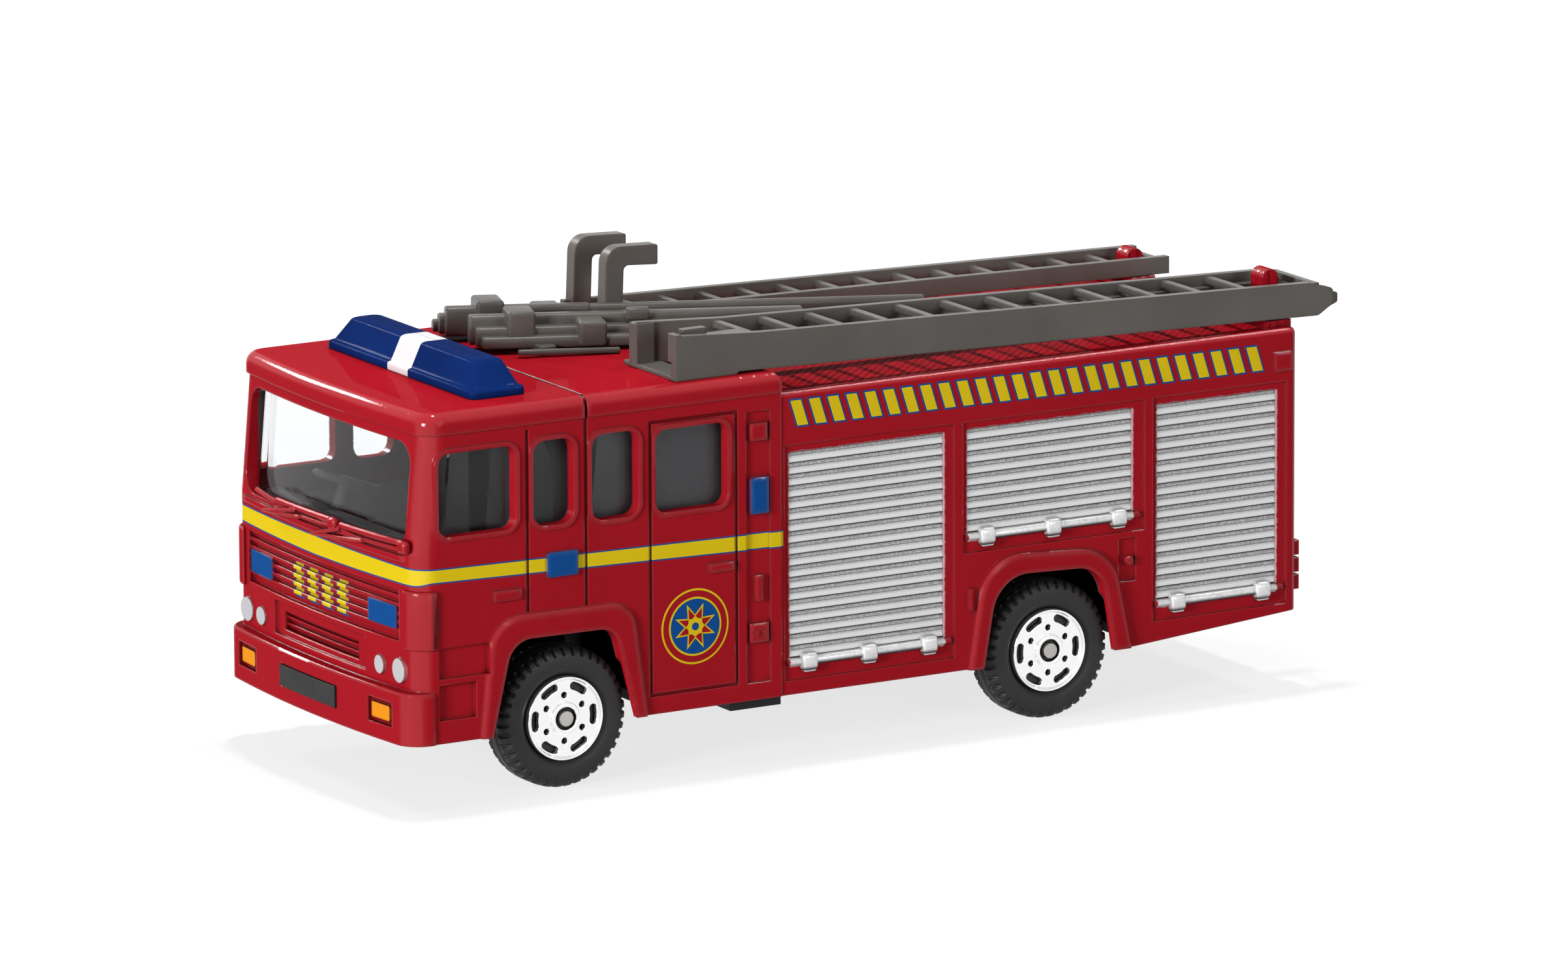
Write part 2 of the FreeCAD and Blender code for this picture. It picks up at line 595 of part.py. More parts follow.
def wipers():
    """Two blades in front of the screen, each on an arm that rises from the sill."""
    adds = []
    for y0, y1 in WIPERS:
        blade_z = (WIPER_Z[1], WIPER_Z[0])
        ends = [V(face_x(y) + WIPER_STANDOFF, y, z) for y, z in zip((y0, y1), blade_z)]
        middle = (ends[0] + ends[1]) / 2
        foot_y = middle.y + WIPER_LEAN
        foot = V(face_x(foot_y) + RELIEF - WIPER_RADIUS, foot_y, sum(SILL_BAND) / 2)
        adds += [stick(WIPER_RADIUS, *ends), stick(WIPER_RADIUS, foot, middle)]
    return adds


def rear_adds():
    """Stacked lamp bumps at the rear corner and a small knob above them."""
    x_pair = (BODY_REAR - REAR_LAMP_PROUD, BODY_REAR + ROOT)
    adds = [box(*x_pair, *REAR_LAMP_Y, z - REAR_LAMP_HALF, z + REAR_LAMP_HALF) for z in REAR_LAMP_ZS]
    y, z, radius, proud = REAR_KNOB
    adds.append(stick(radius, V(BODY_REAR + ROOT, y, z), V(BODY_REAR - proud, y, z)))
    return adds


def lug(y, top):
    """A round-topped lug on a low pad that carries the end of a ladder."""
    x0, x1 = LUG_X
    radius = (x1 - x0) / 2 - 0.02
    post = prism_y(((x0, REAR_TOP - 1, 0), (x1, REAR_TOP - 1, 0), (x1, top, radius), (x0, top, radius)),
                   y - LUG_HALF, y + LUG_HALF)
    pad = box(BODY_REAR + LOW_RELIEF, BODY_REAR + LOW_RELIEF + PAD_LENGTH, y + PAD_Y[0], y + PAD_Y[1],
              REAR_TOP - 1, PAD_TOP)
    return [post, pad]


def rivet_post(x):
    """A post of the casting, its spigot through the base and the peened head below."""
    roof = CAB_TOP if x > CAB_REAR else REAR_TOP
    post = rod(POST_RADIUS, V(x, 0, BASE_TOP), V(x, 0, roof - WALL / 2))
    spigot = rod(RIVET_RADIUS, V(x, 0, BASE_BOTTOM + RIVET_RECESS_DEPTH), V(x, 0, BASE_TOP + 1))
    seat = BASE_BOTTOM + RIVET_RECESS_DEPTH
    head = stick(RIVET_HEAD, V(x, 0, seat - RIVET_HEAD_HEIGHT), V(x, 0, seat))
    return [post, spigot, head]


def skirt_cut():
    """What lies below the casting's lower edge, which rises behind the rear axle."""
    front = BUMPER_FRONT + THROUGH
    rear = BODY_REAR - THROUGH
    outline = ((front, 0, 0), (front, SKIRT, 0), (REAR_SKIRT_START, SKIRT, 0), (BODY_REAR, REAR_SKIRT, 0),
               (rear, REAR_SKIRT, 0), (rear, 0, 0))
    return prism_y(outline, -WIDE, WIDE)


def left_half():
    """The casting's left half, worked in layers: blocks, hollow, recesses, reliefs, then openings."""
    solid = add(*body_blocks(), arch_lip(FRONT_LIP), arch_lip(REAR_LIP))
    lip_face = CAB_HALF_WIDTH + LOW_RELIEF
    for window in SIDE_WINDOWS:
        solid = add(solid, window_prism(window, WINDOW_LIP, CAB_HALF_WIDTH - ROOT, lip_face))
    inner_half = CAB_HALF_WIDTH - WALL
    rear_half = REAR_HALF_WIDTH - WALL
    right_side = box(BODY_REAR - THROUGH, BUMPER_FRONT + THROUGH, -WIDE, 0, -PAST, TALL)
    solid = cut(solid, skirt_cut(), right_side,
                bowed_slab(FACE_FRONT - FRONT_WALL, CAB_REAR - 1, inner_half, CORNER / 2, 0, SILL - 1, False),
                raked_block(WALL, CAB_REAR + WALL, SILL - 1.5, CAB_TOP - WALL),
                box(BODY_REAR + WALL, CAB_REAR + 3, -rear_half, rear_half, 0, REAR_TOP - WALL))
    solid = cut(solid, *front_cuts())
    for frame, slats, rail in [shutter(*sizes, REAR_HALF_WIDTH) for sizes in SHUTTERS] + [rear_shutter()]:
        solid = cut(solid, frame, slats)
        solid = add(solid, *rail)
    solid = cut(solid, *side_cuts())
    solid = add(solid, *side_adds(), *front_adds(), *rear_adds())
    inside = CAB_HALF_WIDTH - WALL - 2
    for window in SIDE_WINDOWS:
        solid = cut(solid, window_prism(window, 0, inside, lip_face + 1))
    for x, corners in ((FRONT_AXLE_X, FRONT_OPENING), (REAR_AXLE_X, REAR_OPENING)):
        room = rod(TYRE_RADIUS + WHEEL_ROOM, V(x, TYRE_OUTER_Y + WHEEL_ROOM / 2, TYRE_RADIUS),
                   V(x, TYRE_OUTER_Y - TYRE_WIDTH - 1.5 * WHEEL_ROOM, TYRE_RADIUS))
        solid = cut(solid, room, prism_y(corners, inside, CAB_HALF_WIDTH + LIP_PROUD + 1))
    return cut(solid, right_side)


def body_casting():
    """Both halves of the casting with what crosses its middle or isn't mirrored."""
    half = left_half()
    solid = add(half, mirrored(half))
    seam_x = SEAMS[1][0]
    roof_seam = box(seam_x - GROOVE / 2, seam_x + GROOVE / 2, -WIDE, WIDE, CAB_TOP - GROOVE_DEPTH,
                    CAB_TOP + PAST)
    panel_half = REAR_HALF_WIDTH - ROOF_RIM
    roof_panel = box(BODY_REAR + ROOF_RIM, CAB_REAR - 0.01, -panel_half, panel_half, REAR_TOP - ROOF_SINK,
                     REAR_TOP + PAST)
    slot_half = PLATE_HALF + PLATE_GAP
    tab_slot = box(BUMPER_REAR - 4, BUMPER_FRONT + PAST, -slot_half, slot_half, PLATE_Z[0] - PLATE_GAP,
                   PLATE_Z[1] + PLATE_GAP)
    solid = cut(solid, roof_seam, roof_panel, tab_slot)
    bar_x = sum(BAR_X) / 2
    for y in (-PEG_Y, PEG_Y):
        solid = cut(solid, rod(PEG_RADIUS + PEG_GAP, V(bar_x, y, CAB_TOP - 3), V(bar_x, y, CAB_TOP + 1)))
    solid = add(solid, *wipers())
    for y, top in LUGS:
        solid = add(solid, *lug(y, top))
    for x in RIVET_X:
        solid = add(solid, *rivet_post(x))
    return solid


def baseplate():
    """The moulded base with its axle blocks, tank reliefs, rivet holes and number plate tab."""
    half = REAR_HALF_WIDTH - WALL - BASE_GAP
    front = FACE_FRONT - FRONT_WALL - BASE_GAP
    solid = bowed_slab(front, BODY_REAR + WALL + BASE_GAP, half, CORNER / 2, BASE_BOTTOM, BASE_TOP, False)
    tab = bowed_slab(BUMPER_FRONT + PLATE_PROUD, BUMPER_FRONT - PLATE_DEPTH, CAB_HALF_WIDTH, CORNER, *PLATE_Z)
    tab = tab.common(box(0, BUMPER_FRONT + 5, -PLATE_HALF, PLATE_HALF, *PLATE_Z))
    tanks = pair(box(*TANK_X, *TANK_Y, TANK_BOTTOM, BASE_TOP))
    solid = add(solid, tab, *tanks)
    reach = TYRE_RADIUS + WHEEL_ROOM
    for x in (FRONT_AXLE_X, REAR_AXLE_X):
        block = box(x - BLOCK_HALF, x + BLOCK_HALF, -BLOCK_END_Y, BLOCK_END_Y, BLOCK_BOTTOM, BASE_TOP)
        wheel_rooms = pair(box(x - reach, x + reach, BLOCK_END_Y, WIDE, 0, BASE_TOP + PAST))
        bore = rod(AXLE_RADIUS + AXLE_CLEARANCE, V(x, -BLOCK_END_Y - PAST, TYRE_RADIUS),
                   V(x, BLOCK_END_Y + PAST, TYRE_RADIUS))
        solid = cut(add(solid, block), *wheel_rooms, bore)
    for x in RIVET_X:
        solid = cut(solid, rod(RIVET_RADIUS + SEAT_CLEARANCE, V(x, 0, 0), V(x, 0, BASE_TOP + PAST)),
                    rod(RIVET_RECESS_RADIUS, V(x, 0, 0), V(x, 0, BASE_BOTTOM + RIVET_RECESS_DEPTH)))
    return solid.removeSplitter()


def window_glazing():
    """One clear cap against the inside of the cab walls, with its roof sheet."""
    gap = WALL + SEAT_CLEARANCE
    outer = raked_block(gap, GLASS_REAR, SILL - 1.0, CAB_TOP - gap)
    inner = raked_block(gap + GLASS, GLASS_REAR - 2, SILL - 2.0, CAB_TOP - gap - GLASS)
    x = RIVET_X[0]
    return cut(outer, inner, rod(POST_RADIUS + POST_GAP, V(x, 0, 0), V(x, 0, TALL)))


def seat(y):
    """A front seat whose back has an arched top."""
    back = ((y - SEAT_HALF, SEAT_BASE, 0), (y - SEAT_HALF, SEAT_TOP, SEAT_ARCH),
            (y + SEAT_HALF, SEAT_TOP, SEAT_ARCH), (y + SEAT_HALF, SEAT_BASE, 0))
    cushion = box(SEAT_BACK_X[0] + 1, SEAT_FRONT, y - SEAT_HALF, y + SEAT_HALF, SEAT_BASE, CUSHION_TOP)
    return [prism_x(back, *SEAT_BACK_X), cushion]


def steering_wheel():
    """A ring with three spokes on a column that rises from the dashboard."""
    half = WHEEL_RIM / 2
    corners = [V(WHEEL_RING - half, 0, 0), V(WHEEL_RING, 0, half), V(WHEEL_RING + half, 0, 0),
               V(WHEEL_RING, 0, -half)]
    ring = Part.Face(Part.makePolygon(corners + corners[:1]))
    solid = ring.revolve(V(0, 0, 0), V(0, 0, 1), 360)
    for turn in (90, 210, 330):
        spoke = box(0, WHEEL_RING, -half * 0.6, half * 0.6, -half * 0.5, half * 0.5)
        spoke.rotate(V(0, 0, 0), V(0, 0, 1), turn)
        solid = solid.fuse(spoke)
    solid = solid.fuse(rod(WHEEL_RIM, V(0, 0, -COLUMN_LENGTH), V(0, 0, half)))
    solid.rotate(V(0, 0, 0), V(0, 1, 0), -WHEEL_TILT)
    solid.translate(V(*WHEEL_PLACE))
    return solid


def cab_interior():
    """Floor, dashboard, steering wheel, front seats and the tall hollow crew block."""
    gap = WALL + SEAT_CLEARANCE + GLASS + ROOM_GAP
    ceiling = CAB_TOP - gap - ROOM_GAP
    dash_front = FACE_FRONT - FRONT_WALL - ROOM_GAP
    crew_rear, crew_front = CREW_X
    floor, dash = FLOOR_Z, DASH_X
    side = ((crew_rear, floor[0], 0), (crew_rear, ceiling, 0), (crew_front - 2, ceiling, 2.0),
            (crew_front, floor[1], 0), (dash, floor[1], 0), (dash, DASH_TOP[0], 0.8),
            (dash_front, DASH_TOP[1], 0), (dash_front, floor[0], 0))
    wall = CREW_WALL
    hollow = box(crew_rear + wall, crew_front - 3 * wall, wall - CREW_HALF, CREW_HALF - wall, 0,
                 ceiling - wall)
    room_half = CAB_HALF_WIDTH - gap
    room = bowed_slab(dash_front, 0, room_half, CORNER, 0, CAB_TOP, False)
    solid = cut(prism_y(side, -room_half, room_half), hollow).common(room)
    for y in (-SEAT_Y, SEAT_Y):
        solid = add(solid, *seat(y))
    solid = add(solid, steering_wheel())
    for x in LEG_X:
        solid = add(solid, *pair(box(x, x + LEG_LENGTH, *LEG_Y, BASE_TOP, floor[0] + 1)))
    x = RIVET_X[0]
    return cut(solid, rod(POST_RADIUS + POST_GAP, V(x, 0, 0), V(x, 0, TALL)))


def light_bar():
    """A flange, a tapering dome and two pegs that plug into the cab roof."""
    x0, x1 = BAR_X
    shoulder = CAB_TOP + BAR_FLANGE
    flange = box(x0, x1, -BAR_HALF, BAR_HALF, CAB_TOP, shoulder)
    low = rounded_wire(rectangle(x0 + BAR_INSET, x1 - BAR_INSET, BAR_INSET - BAR_HALF, BAR_HALF - BAR_INSET),
                       lambda p: V(p.x, p.y, shoulder - 0.2))
    high = rounded_wire(rectangle(*BAR_TOP_X, -BAR_TOP_HALF, BAR_TOP_HALF), lambda p: V(p.x, p.y, BAR_TOP))
    dome = Part.makeLoft([low, high], True, True)
    edges = [e for e in dome.Edges if max(v.Z for v in e.Vertexes) > BAR_TOP - 1e-4]
    dome = dome.makeChamfer(BAR_BEVEL, edges)
    pegs = [rod(PEG_RADIUS, V((x0 + x1) / 2, y, CAB_TOP - WALL), V((x0 + x1) / 2, y, CAB_TOP + 0.5))
            for y in (-PEG_Y, PEG_Y)]
    return add(flange, dome, *pegs).removeSplitter()


def left_top(x):
    """Top edge height of the left ladder's rails."""
    front, bend, rear = LEFT_TOP
    if x > LEFT_TOP_BREAK:
        return bend + (front - bend) * (x - LEFT_TOP_BREAK) / (LADDER_FRONT - LEFT_TOP_BREAK)
    return rear + (bend - rear) * (x - LEFT_REAR) / (LEFT_TOP_BREAK - LEFT_REAR)


def left_rail(y0, y1):
    """A deep rail that stands on the cab roof and tapers to a blunt rear end."""
    low_front, low_rear = LEFT_BOTTOM
    tip = LEFT_REAR - LEFT_END_REACH
    outline = ((LADDER_FRONT, CAB_TOP, 0), (LADDER_FRONT, LEFT_TOP[0], 0.3), (LEFT_TOP_BREAK, LEFT_TOP[1], 0),
               (LEFT_REAR, LEFT_TOP[2], 0.8), (tip, LEFT_TOP[2] - 0.9, 0.6), (tip, low_rear + 1.2, 0.8),
               (LEFT_REAR - 1.2, low_rear, 1.0), (LEFT_FOOT_END - 0.4, low_front, 0),
               (LEFT_FOOT_END, CAB_TOP, 0))
    return prism_y(outline, y0, y1)


def ladder_slide(y0, y1):
    """The lower section's rail, which runs inside the upper one and ends past it."""
    outline = ((LEFT_FOOT_END, CAB_TOP + ROOT, 0), (LEFT_FOOT_END, SLIDE_TOP[0], 0),
               (LEFT_REAR - 2.5, SLIDE_TOP[1], 0), (LADDER_TIP, SLIDE_END_Z[1], 0.3),
               (LADDER_TIP, SLIDE_END_Z[0], 0.3), (LEFT_REAR - 2.8, LEFT_BOTTOM[1] + ROOT, 0))
    return prism_y(outline, y0, y1)


def ladder_extension():
    """Two nested ladder sections moulded as one: deep rails, upper rungs and lower rungs."""
    y0, y1 = LEFT_LADDER_Y
    t = RAIL_THICKNESS
    solid = add(left_rail(y0, y0 + t), ladder_slide(y0 + t - 0.05, y0 + 2 * t))
    solid = add(solid, left_rail(y1 - t, y1), ladder_slide(y1 - 2 * t, y1 - t + 0.05))
    half = RUNG_SIZE / 2
    across = (y0 + t / 2, y1 - t / 2)
    for i in range(LEFT_RUNGS):
        x = LEFT_RUNG_FIRST - i * LEFT_RUNG_PITCH
        top = left_top(x) - RUNG_SINK
        low = top - LOWER_RUNG_DROP
        low_x = x - LEFT_RUNG_PITCH / 2
        solid = add(solid, box(x - half, x + half, *across, top - RUNG_SIZE, top),
                    box(low_x - half, low_x + half, *across, low - RUNG_SIZE, low))
    end_top = LEFT_TOP[2] - RUNG_SINK
    end_bar = box(LEFT_REAR - 2 * RUNG_SIZE, LEFT_REAR - RUNG_SIZE, *across, end_top - RUNG_SIZE, end_top)
    foot_plate = box(*PLATE_X, y0 - PLATE_REACH, y1, CAB_TOP, CAB_TOP + PLATE_THICKNESS)
    block_x, block_y, block_top = STOP_BLOCK
    details = [box(*x_pair, *y_pair, *z_pair) for x_pair, y_pair, z_pair in (END_FLANGE, SHELF, PAWL)]
    block = box(*block_x, *block_y, CAB_TOP, block_top)
    return add(solid, end_bar, foot_plate, block, *details).removeSplitter()


def hook_line(x, front, rear):
    return rear + (front - rear) * (x - HOOK_RAIL_REAR) / (HOOK_RAIL_FRONT - HOOK_RAIL_REAR)


def hook_bottom(x):
    """Underside of the right ladder, from the cab roof's rear edge down to the pad at the rear."""
    front = CAB_TOP + HOOK_LIFT
    rear = PAD_TOP + HOOK_LIFT
    return rear + (front - rear) * (x - BODY_REAR) / (CAB_REAR - BODY_REAR)


def hook_rail(y_front, y_rear):
    """A straight rail between its two ends, extruded along its own line."""
    low = hook_bottom(HOOK_RAIL_REAR)
    way = V(HOOK_RAIL_FRONT - HOOK_RAIL_REAR, y_front - y_rear, hook_bottom(HOOK_RAIL_FRONT) - low)
    half = RAIL_THICKNESS / 2
    end = prism_x(rectangle(y_rear - half, y_rear + half, low, low + HOOK_LADDER_HEIGHT), HOOK_RAIL_REAR,
                  HOOK_RAIL_REAR + 1)
    face = [f for f in end.Faces if f.BoundBox.XMax < HOOK_RAIL_REAR + 1e-4][0]
    return face.extrude(way)


def roof_hook(x, y):
    """A post that turns rearwards in an arm at its top."""
    rear = x - HOOK_POST / 2
    front = x + HOOK_POST / 2
    tip = front - HOOK_REACH
    outline = ((rear, hook_bottom(x), 0), (front, hook_bottom(x), 0), (front - 0.4, HOOK_TOP, HOOK_ROUND),
               (tip, HOOK_TOP - HOOK_SLOPE, 0.25), (tip, HOOK_TOP - HOOK_SLOPE - HOOK_ARM, 0.25),
               (rear - 0.3, HOOK_TOP - HOOK_ARM, 0.6))
    return prism_y(outline, y - HOOK_WIDTH / 2, y + HOOK_WIDTH / 2)


def ladder_hook():
    """Roof ladder with two rails, rungs, and a tall hook at the front end of each rail."""
    low = hook_bottom(HOOK_RAIL_REAR) + RAIL_THICKNESS
    end_bar = box(HOOK_RAIL_REAR + RUNG_SIZE, HOOK_RAIL_REAR + 2 * RUNG_SIZE, HOOK_FAR_Y[1], HOOK_NEAR_Y[1],
                  low, low + RUNG_SIZE)
    solid = add(hook_rail(*HOOK_NEAR_Y), end_bar, hook_rail(*HOOK_FAR_Y))
    half = RUNG_SIZE / 2
    for i in range(HOOK_RUNGS):
        x = HOOK_RUNG_FIRST - i * HOOK_RUNG_PITCH
        top = hook_bottom(x) + HOOK_LADDER_HEIGHT - HOOK_RUNG_SINK
        solid = add(solid, box(x - half, x + half, hook_line(x, *HOOK_FAR_Y), hook_line(x, *HOOK_NEAR_Y),
                               top - RUNG_SIZE, top))
    for y in HOOK_YS:
        solid = add(solid, roof_hook(HOOK_X, y))
    return solid.removeSplitter()


def hose_y(y, x):
    """Place across the roof, at a distance along it, of a line of the bundles that starts at y."""
    return y + HOSE_SKEW * (HOSE_FRONT - x)


def hose_run(points, start, length):
    """Extrudes a (y, z) outline across the roof along the hoses' own direction."""
    corners = [V(HOSE_FRONT, y, z) for y, z in points]
    way = V(-1, HOSE_SKEW, -HOSE_FALL)
    solid = Part.Face(Part.makePolygon(corners + corners[:1])).extrude(way * length)
    solid.translate(way * start)
    return solid


def strip_outline(y0, y1, z0, z1):
    return [(y0, z0), (y1, z0), (y1, z1), (y0, z1)]


def hose_pile(edge, side, length):
    """Three bevelled hoses stepped in one pile, the lowest on the outer side (1 is left, -1 is right)."""
    points = [(edge - side * HOSE_DEPTH, HOSE_BOTTOM), (edge, HOSE_BOTTOM)]
    inner_places = [out for out, top in HOSE_STEPS[1:]] + [HOSE_DEPTH]
    for (out, top), inner in zip(HOSE_STEPS, inner_places):
        points += [(edge - side * out, top - HOSE_BEVEL), (edge - side * (out + HOSE_BEVEL), top),
                   (edge - side * inner, top)]
    return hose_run(points, 0, length)


def hose_bundles():
    """Two piles that lie askew, with straps, a clip, a tray strip, a tie and a rear saddle."""
    supports = []
    for x_pair, z, right, left in ((TIE_X, HOSE_BOTTOM + 0.5, RIGHT_BUNDLE[0], TRAY_STRIP[0][1]),
                                   (SADDLE_X, HOSE_BOTTOM + 1.5, LONG_HOSE[0][0], LEFT_BUNDLE[0])):
        middle = sum(x_pair) / 2
        supports.append(box(*x_pair, hose_y(right, middle), hose_y(left, middle), CAB_TOP, z))
    solid = add(hose_pile(*LEFT_BUNDLE), supports[0], hose_pile(*RIGHT_BUNDLE))
    y_pair, z_pair, length = LONG_HOSE
    solid = add(solid, hose_run(strip_outline(*y_pair, *z_pair), 0, length), supports[1])
    for edge, side, length in (LEFT_BUNDLE, RIGHT_BUNDLE):
        for start, across, z_pair in STRAPS:
            y_pair = sorted(edge - side * out for out in across)
            solid = add(solid, hose_run(strip_outline(*y_pair, *z_pair), start, STRAP_WIDTH))
    for y_pair, z_pair, start, length in (HOSE_CLIP, TRAY_STRIP):
        solid = add(solid, hose_run(strip_outline(*y_pair, *z_pair), start, length))
    return solid


def axle(x):
    return rod(AXLE_RADIUS, V(x, -AXLE_END_Y, TYRE_RADIUS), V(x, AXLE_END_Y, TYRE_RADIUS))


def revolved(profile, x, side):
    """Turns an (outward, radius) profile about the axle line at x, on the left (1) or right (-1)."""
    points = [V(0, y * side, r) for y, r in profile]
    solid = Part.Face(Part.makePolygon(points + points[:1])).revolve(V(0, 0, 0), V(0, 1, 0), 360)
    solid.translate(V(x, 0, TYRE_RADIUS))
    return solid


def hub(x, side):
    """Dished wheel disc with a sunk eye round the axle's end, round holes and slots between them."""
    face = HUB_FACE_Y
    back = face - HUB_DEPTH
    dish = face - HUB_DISH
    eye = dish - HUB_EYE_DEPTH
    bore = AXLE_RADIUS + SEAT_CLEARANCE
    profile = ((back, bore), (eye, bore), (eye, HUB_EYE_RADIUS), (dish, HUB_EYE_RADIUS),
               (dish, HUB_DISH_RADIUS), (face, HUB_RADIUS), (back, HUB_RADIUS))
    solid = revolved(profile, x, side)
    reach = HUB_SLOT_LENGTH / 2
    half = HUB_SLOT_WIDTH / 2
    y_pair = sorted((side * (dish - HUB_OPENING_DEPTH), side * (face + HUB_DISH)))
    for i in range(HUB_SPOKES):
        turn = 360 / HUB_SPOKES * i
        hole = stick(HUB_HOLE_RADIUS, V(0, y_pair[0], HUB_HOLE_CIRCLE), V(0, y_pair[1], HUB_HOLE_CIRCLE))
        slot = box(-reach, reach, *y_pair, HUB_SLOT_RADIUS - half, HUB_SLOT_RADIUS + half)
        hole.rotate(V(0, 0, 0), V(0, 1, 0), turn)
        slot.rotate(V(0, 0, 0), V(0, 1, 0), turn + 180 / HUB_SPOKES)
        for tool in (hole, slot):
            tool.translate(V(x, 0, TYRE_RADIUS))
            solid = solid.cut(tool)
    return solid


def tyre(x, side):
    """Plain toy tyre with bevelled shoulders and a bevelled bead round the hub."""
    inner = HUB_RADIUS + SEAT_CLEARANCE
    out = TYRE_OUTER_Y
    inward = out - TYRE_WIDTH
    r = TYRE_RADIUS
    s = TYRE_SHOULDER
    profile = ((inward, inner), (out - TYRE_BEAD, inner), (out, inner + TYRE_BEAD), (out, r - s),
               (out - s, r), (inward + s, r), (inward, r - s))
    return revolved(profile, x, side)


def export(name, shape):
    """Moves a node so that x = 0 is the middle of the toy's length, and writes it."""
    shape = shape.copy()
    shape.translate(V(-(BUMPER_FRONT + PLATE_PROUD + LADDER_TIP) / 2, 0, 0))
    solids = shape.Solids
    shape = solids[0] if len(solids) == 1 else Part.makeCompound(solids)
    shape.exportStep("parts/%s.step" % name)
    print("%-18s solids %d, valid %s, %.1f mm3" % (name, len(solids), shape.isValid(), shape.Volume))


def main():
    os.makedirs("parts", exist_ok=True)
    export("body_casting", body_casting())
    export("baseplate", baseplate())
    export("window_glazing", window_glazing())
    export("cab_interior", cab_interior())
    export("light_bar", light_bar())
    export("ladder_extension", ladder_extension())
    export("ladder_hook", ladder_hook())
    export("hose_bundles", hose_bundles())
    for end, x in (("front", FRONT_AXLE_X), ("rear", REAR_AXLE_X)):
        export("axle_%s" % end, axle(x))
        for name, side in (("left", 1), ("right", -1)):
            export("hub_%s_%s" % (end, name), hub(x, side))
            export("tyre_%s_%s" % (end, name), tyre(x, side))


main()
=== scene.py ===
# %% [markdown]
# # A die-cast toy fire engine
#
# The frame of this toy is already modelled in solids, in its own size. This lesson gives it its looks:
# glossy enamel with printed stripes, sprayed silver shutters, clear glazing, chromed wheel discs, moulded
# tyres and the little printed marks. Pieces whose form the solids already have keep them and only get a
# material. Pieces that need finer curves are worked out here with numpy and stand in for the solids.

# %% The frame
import math
from functools import partialmethod
import bmesh
import bpy
import numpy as np
from mathutils import Matrix, Vector


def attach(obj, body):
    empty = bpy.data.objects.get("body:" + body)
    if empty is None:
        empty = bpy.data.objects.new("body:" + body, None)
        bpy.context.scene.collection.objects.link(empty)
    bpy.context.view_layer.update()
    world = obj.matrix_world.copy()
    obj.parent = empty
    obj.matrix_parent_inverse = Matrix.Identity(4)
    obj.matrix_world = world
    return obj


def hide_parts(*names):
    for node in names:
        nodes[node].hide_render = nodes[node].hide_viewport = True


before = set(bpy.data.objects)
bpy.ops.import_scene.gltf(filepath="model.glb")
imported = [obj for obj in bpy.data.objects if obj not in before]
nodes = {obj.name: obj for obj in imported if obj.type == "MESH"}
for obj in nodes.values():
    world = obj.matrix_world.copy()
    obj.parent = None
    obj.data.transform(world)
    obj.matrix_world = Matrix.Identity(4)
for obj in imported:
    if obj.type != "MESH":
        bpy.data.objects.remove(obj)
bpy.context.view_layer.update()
MM = 0.001
# The sizes below are read off the drawing, whose zero lies this far in front of the frame's own zero.
DRAWING_SHIFT = 3.55
SIDES = (("left", 1), ("right", -1))
print("pieces in the frame:", len(nodes))

# %% [markdown]
# ## Words for shader graphs
#
# A finish is a graph of nodes. Wiring each node by hand fills pages, so one small class gives the few
# words that this file needs, such as `plus`, `step`, `layer` and `effect`. It only saves typing: what it
# builds is the same graph that you would wire in the shader editor.


# %% A short way to wire nodes
class Graph:
    """One node tree with short words for adding nodes. Each word returns the new node's output."""

    def __init__(self, tree):
        self.tree = tree

    def put(self, kind, **settings):
        """A new node with these settings."""
        node = self.tree.nodes.new(kind)
        for name, value in settings.items():
            setattr(node, name, value)
        return node

    def feed(self, socket, value):
        """Links an output to the socket, or writes a plain value on it."""
        if isinstance(value, bpy.types.NodeSocket):
            self.tree.links.new(value, socket)
        else:
            socket.default_value = value

    def math(self, operation, *values):
        """One sum on one or two values."""
        node = self.put("ShaderNodeMath", operation=operation)
        for socket, value in zip(node.inputs, values):
            self.feed(socket, value)
        return node.outputs[0]

    plus = partialmethod(math, "ADD")
    less = partialmethod(math, "SUBTRACT")
    times = partialmethod(math, "MULTIPLY")
    over = partialmethod(math, "DIVIDE")
    size = partialmethod(math, "ABSOLUTE")
    least = partialmethod(math, "MINIMUM")
    most = partialmethod(math, "MAXIMUM")

    def line(self, start, slope, value):
        """start + slope x value."""
        return self.plus(start, self.times(value, slope))

    def step(self, value, low, high, start=0.0, end=1.0):
        """start below low, end above high, and a smooth S between them."""
        node = self.put("ShaderNodeMapRange", interpolation_type="SMOOTHSTEP")
        for name, amount in zip(("Value", "From Min", "From Max", "To Min", "To Max"),
                                (value, low, high, start, end)):
            self.feed(node.inputs[name], amount)
        return node.outputs["Result"]

    def layer(self, under, over, mask):
        """The colour over laid on the colour under where the mask is 1."""
        node = self.put("ShaderNodeMix", data_type="RGBA")
        for socket, value in ((0, mask), (6, under), (7, over)):
            self.feed(node.inputs[socket], value)
        return node.outputs[2]

    def effect(self, name, **inputs):
        """A copy of a shared effect with its own values."""
        node = self.put("ShaderNodeGroup", node_tree=bpy.data.node_groups[name])
        for key, value in inputs.items():
            self.feed(node.inputs[key], value)
        return node.outputs

    def noise(self, place, scale, detail=2.0, roughness=0.5):
        """Cloudy noise between 0 and 1."""
        node = self.put("ShaderNodeTexNoise")
        for name, value in zip(("Vector", "Scale", "Detail", "Roughness"), (place, scale, detail, roughness)):
            self.feed(node.inputs[name], value)
        return node.outputs["Fac"]

    def where(self):
        """The place on the object, in metres."""
        return self.put("ShaderNodeTexCoord").outputs["Object"]

    def split(self, vector):
        """The three parts of a vector."""
        node = self.put("ShaderNodeSeparateXYZ")
        self.feed(node.inputs[0], vector)
        return node.outputs


